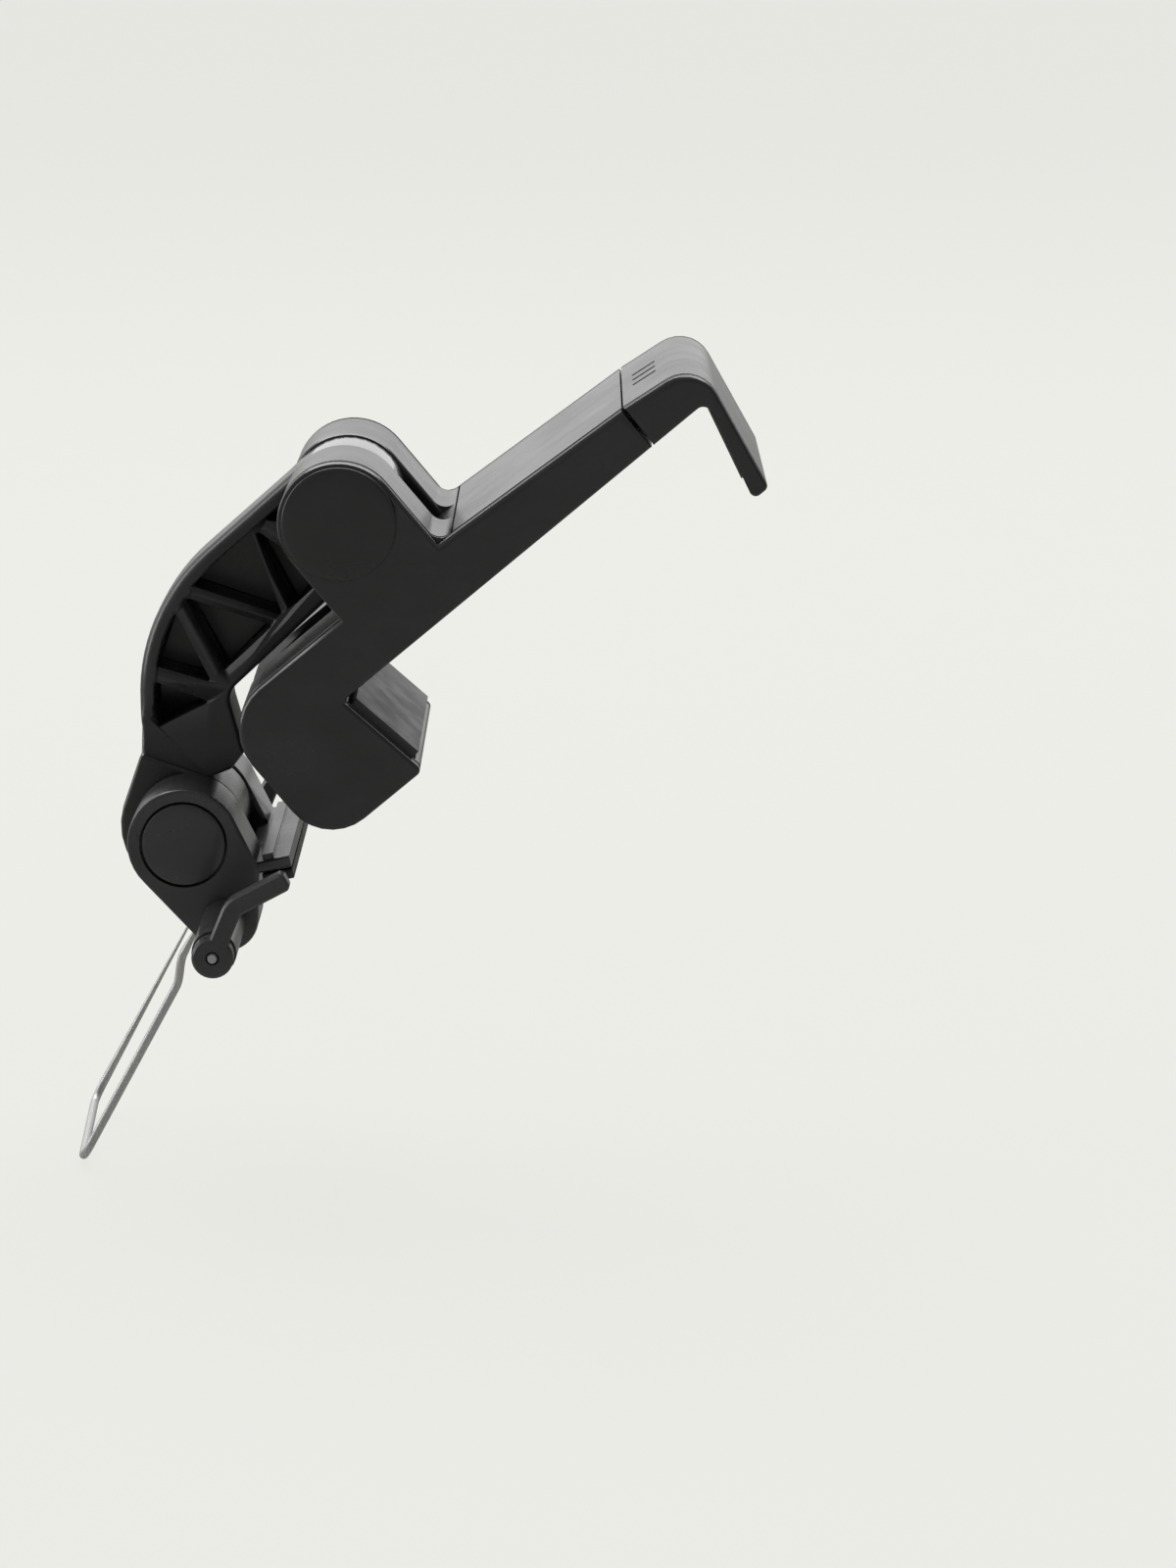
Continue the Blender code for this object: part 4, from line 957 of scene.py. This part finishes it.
screw_rule = Shaper("cross_head_screws", dict.fromkeys(SCREW_SIZES, "Float"))
height = screw_rule.size("Height")
head = screw_rule.cylinder(HEAD_CORNERS, screw_rule.size("Head"), height)
shank = screw_rule.cylinder(SHANK_CORNERS, screw_rule.size("Shank"), screw_rule.size("Reach"))
lift = screw_rule.vector(Z=screw_rule.maths("MULTIPLY", screw_rule.size("Reach"), 0.5))
shank = screw_rule.moved(shank, Translation=lift)
wide = screw_rule.size("Recess")
narrow = screw_rule.maths("MULTIPLY", wide, RECESS_WIDTH_SHARE)
bars = []
for span_x, span_y in ((wide, narrow), (narrow, wide)):
    extent = screw_rule.vector(X=span_x, Y=span_y, Z=height)
    bars.append(screw_rule.node("GeometryNodeMeshCube", {}, {"Size": extent}))
sunk = screw_rule.vector(Z=screw_rule.maths("MULTIPLY", height, RECESS_SINK_SHARE))
cutter = screw_rule.moved(screw_rule.joined(*bars), Translation=sunk)
head = screw_rule.node("GeometryNodeMeshBoolean", {"operation": "DIFFERENCE", "solver": "EXACT"}, {
    "Mesh 1": head, "Mesh 2": cutter, "Self Intersection": True})
each = screw_rule.on_points(screw_rule.size("Geometry"), screw_rule.joined(head, shank))
screw_rule.finish(each, screw_steel)
print("screw rule ready")

# %% [markdown]
# ## Where the cover screws sit
# The four screws stand on the corners of a rectangle on the clamp's phone side, under the
# beam's cover. Their heads lie flush in the face, so a head's middle is half its height inside.

# %% The four screws
FACE_DROP = 0.0174
SCREWS_ALONG = (0.0133, 0.0311)
SCREWS_ACROSS = (-0.01636, 0.01636)
screw_level = -FACE_DROP + HEAD_HEIGHT / 2.0
places = [(along, across, screw_level) for along in SCREWS_ALONG for across in SCREWS_ACROSS]
screws = screw_rule.run("cover_screws", SCREW_SIZES, places, place=ON_CLAMP)
seat(screws, "clamp", *[f"cover_screw_{number}" for number in range(1, 5)])

# %% [markdown]
# ## The ribbed back pad
# The phone's back rests on a rubber pad. Fine cross ribs give it its grip: a thin base with
# round bars set side by side, half sunk into it.

# %% A tree that lays ribs along a pad
PAD_THICKNESS = 0.0010
PAD_START = -0.0086
RIB = 0.00042
RIB_CORNERS = 14
PAD_SIZES = {"Length": 0.0340, "Width": 0.0230, "Base": PAD_THICKNESS - RIB, "Rib": RIB, "Pitch": 0.00114}

rib_rule = Shaper("ribbed_pad", {**dict.fromkeys(PAD_SIZES, "Float"), "Count": "Int"})
extent = rib_rule.vector(X=rib_rule.size("Length"), Y=rib_rule.size("Width"), Z=rib_rule.size("Base"))
slab = rib_rule.node("GeometryNodeMeshCube", {}, {"Size": extent})
bar = rib_rule.cylinder(RIB_CORNERS, rib_rule.size("Rib"), rib_rule.size("Width"))
bar = rib_rule.moved(bar, Rotation=(math.pi / 2.0, 0.0, 0.0))
gaps = rib_rule.maths("SUBTRACT", rib_rule.size("Count"), 1.0)
first = rib_rule.maths("MULTIPLY", rib_rule.maths("MULTIPLY", gaps, rib_rule.size("Pitch")), -0.5)
level = rib_rule.maths("MULTIPLY", rib_rule.size("Base"), -0.5)
line = rib_rule.node("GeometryNodeMeshLine", {"mode": "OFFSET"}, {
    "Count": rib_rule.size("Count"),
    "Start Location": rib_rule.vector(X=first, Z=level),
    "Offset": rib_rule.vector(X=rib_rule.size("Pitch"))})
rib_rule.finish(rib_rule.joined(slab, rib_rule.on_points(line, bar)), pad_rubber)

pad_middle = (
    PAD_START + PAD_SIZES["Length"] / 2.0,
    0.0,
    -FACE_DROP + (PAD_THICKNESS - PAD_SIZES["Base"]) / 2.0,
)
back_pad = rib_rule.run(
    "ribbed_back_pad", {**PAD_SIZES, "Count": 29}, place=ON_CLAMP @ Matrix.Translation(pad_middle))
seat(back_pad, "clamp", "back_pad")

# %% [markdown]
# ## The camera
# The picture was taken from the near side, a little above the clip, with a long lens. A
# lens of about 102 mm on a 36 mm sensor, a little over half a metre away and tipped down by
# 13 degrees, gives the same slight convergence of the far ends.

# %% Place the camera
DOWN_TILT = 12.9
camera_data = bpy.data.cameras.new("camera")
camera_data.lens = 102.15
camera_data.sensor_width = 36.0
camera_data.clip_end = 20.0
camera = placed("camera", camera_data)
camera.location = (0.03974, -0.5644, 0.13853)
camera.rotation_euler = (math.radians(90.0 - DOWN_TILT), 0.0, 0.0)
bpy.context.scene.camera = camera
print("camera at, mm:", [round(1000.0 * v, 1) for v in camera.location])

# %% [markdown]
# ## Floor and background
# The clip hangs on its host, which is left out, so the plain floor lies below the wire bail
# and only catches a soft shadow. The lens sees mostly the plain colour of the paper there.
# Shiny faces see a dimmer grey that turns paler with distance, because a bright floor right
# under black plastic would wash out its lower faces.

# %% The pale floor
PAPER = (0.823, 0.823, 0.785)
FLOOR_HALF = 6.0
FLOOR_DROP = 0.0006
PAPER_SHARE = 0.93
MIRRORED_NEAR = 0.33
MIRRORED_FAR = 0.52
floor_level = cad_low[2] - FLOOR_DROP
corner_signs = ((-1, -1), (1, -1), (1, 1), (-1, 1))
floor_corners = [(x * FLOOR_HALF, y * FLOOR_HALF, floor_level) for x, y in corner_signs]
floor_mesh = bpy.data.meshes.new("floor")
floor_mesh.from_pydata(floor_corners, [], [(0, 1, 2, 3)])
floor = placed("floor", floor_mesh)

bench = Bench("pale_floor")


def glow(strength):
    """The paper's colour, shining with a plain strength."""
    return bench.node("ShaderNodeEmission", {}, {"Color": (*PAPER, 1.0), "Strength": strength})


def mixed(factor, first, second):
    """Two shaders, mixed by a factor."""
    return bench.node("ShaderNodeMixShader", {}, {0: factor, 1: first, 2: second})


to_lens, to_mirror, through_glass = bench.rays("Camera", "Glossy", "Transmission")
speck = bench.noise(40.0, 4.0).between(0.3, 0.7)
speckled = bench.tint(speck, [part * 0.985 for part in PAPER], PAPER)
lit = bench.node("ShaderNodeBsdfDiffuse", {}, {"Color": speckled})
far = bench.axes("Y")[0].between(0.15, 1.0)
plain = mixed(PAPER_SHARE * to_lens + through_glass, lit, glow(1.0))
seen = mixed(to_mirror, plain, mixed(far, glow(MIRRORED_NEAR), glow(MIRRORED_FAR)))
bench.node("ShaderNodeOutputMaterial", {}, {"Surface": seen})
floor_mesh.materials.append(bench.made)
print("floor at, mm:", round(1000.0 * floor_level, 1))

# %% [markdown]
# ## The room that the plastic mirrors
# Satin black shows its form by what it mirrors. Behind the clip the paper is bright, so each
# face that looks up or away turns pale at a grazing angle. Behind the camera the room is dim,
# so the near faces stay black. One ramp on the direction of a ray does both, and a second one
# dims the right side. The lens itself sees only the colour of the paper.

# %% World
sky = Bench("studio", bpy.data.worlds, "Generated")
bpy.context.scene.world = sky.made
rightward, away = sky.axes("XY")
room = away.between(-0.55, 0.75, 0.26, 1.22) * rightward.between(0.15, 0.85, 1.0, 0.5)
ambient = sky.node("ShaderNodeBackground", {}, {"Strength": room})
backdrop = sky.node("ShaderNodeBackground", {}, {"Color": (*PAPER, 1.0)})
to_lens, through_glass = sky.rays("Camera", "Transmission")
sees_paper = to_lens.maths("MAXIMUM", to_lens, through_glass)
blend = sky.node("ShaderNodeMixShader", {}, {0: sees_paper, 1: ambient, 2: backdrop})
sky.node("ShaderNodeOutputWorld", {}, {"Surface": blend})
print("world nodes:", len(sky.tree.nodes))

# %% [markdown]
# ## Lamps
# A broad soft box hangs above and behind the clip and draws the long pale bands on its top.
# A narrow strip at the left runs a thin light down the round of the arm and the ears.

# %% Lamps
def soft_box(name, place, aim, width, height, watts):
    """A rectangular lamp at a place, turned towards a point."""
    data = bpy.data.lights.new(name, "AREA")
    data.shape = "RECTANGLE"
    data.size = width
    data.size_y = height
    data.energy = watts
    lamp = placed(name, data)
    lamp.location = place
    lamp.rotation_euler = (Vector(aim) - Vector(place)).to_track_quat("-Z", "Y").to_euler()
    print("lamp:", name, "watts:", watts)


middle = (cad_low + cad_high) / 2.0
soft_box("top_box", (0.05, 0.55, 0.95), middle, width=1.4, height=0.8, watts=14.0)
soft_box("left_strip", (-0.80, 0.05, 0.30), middle, width=0.25, height=0.8, watts=2.6)
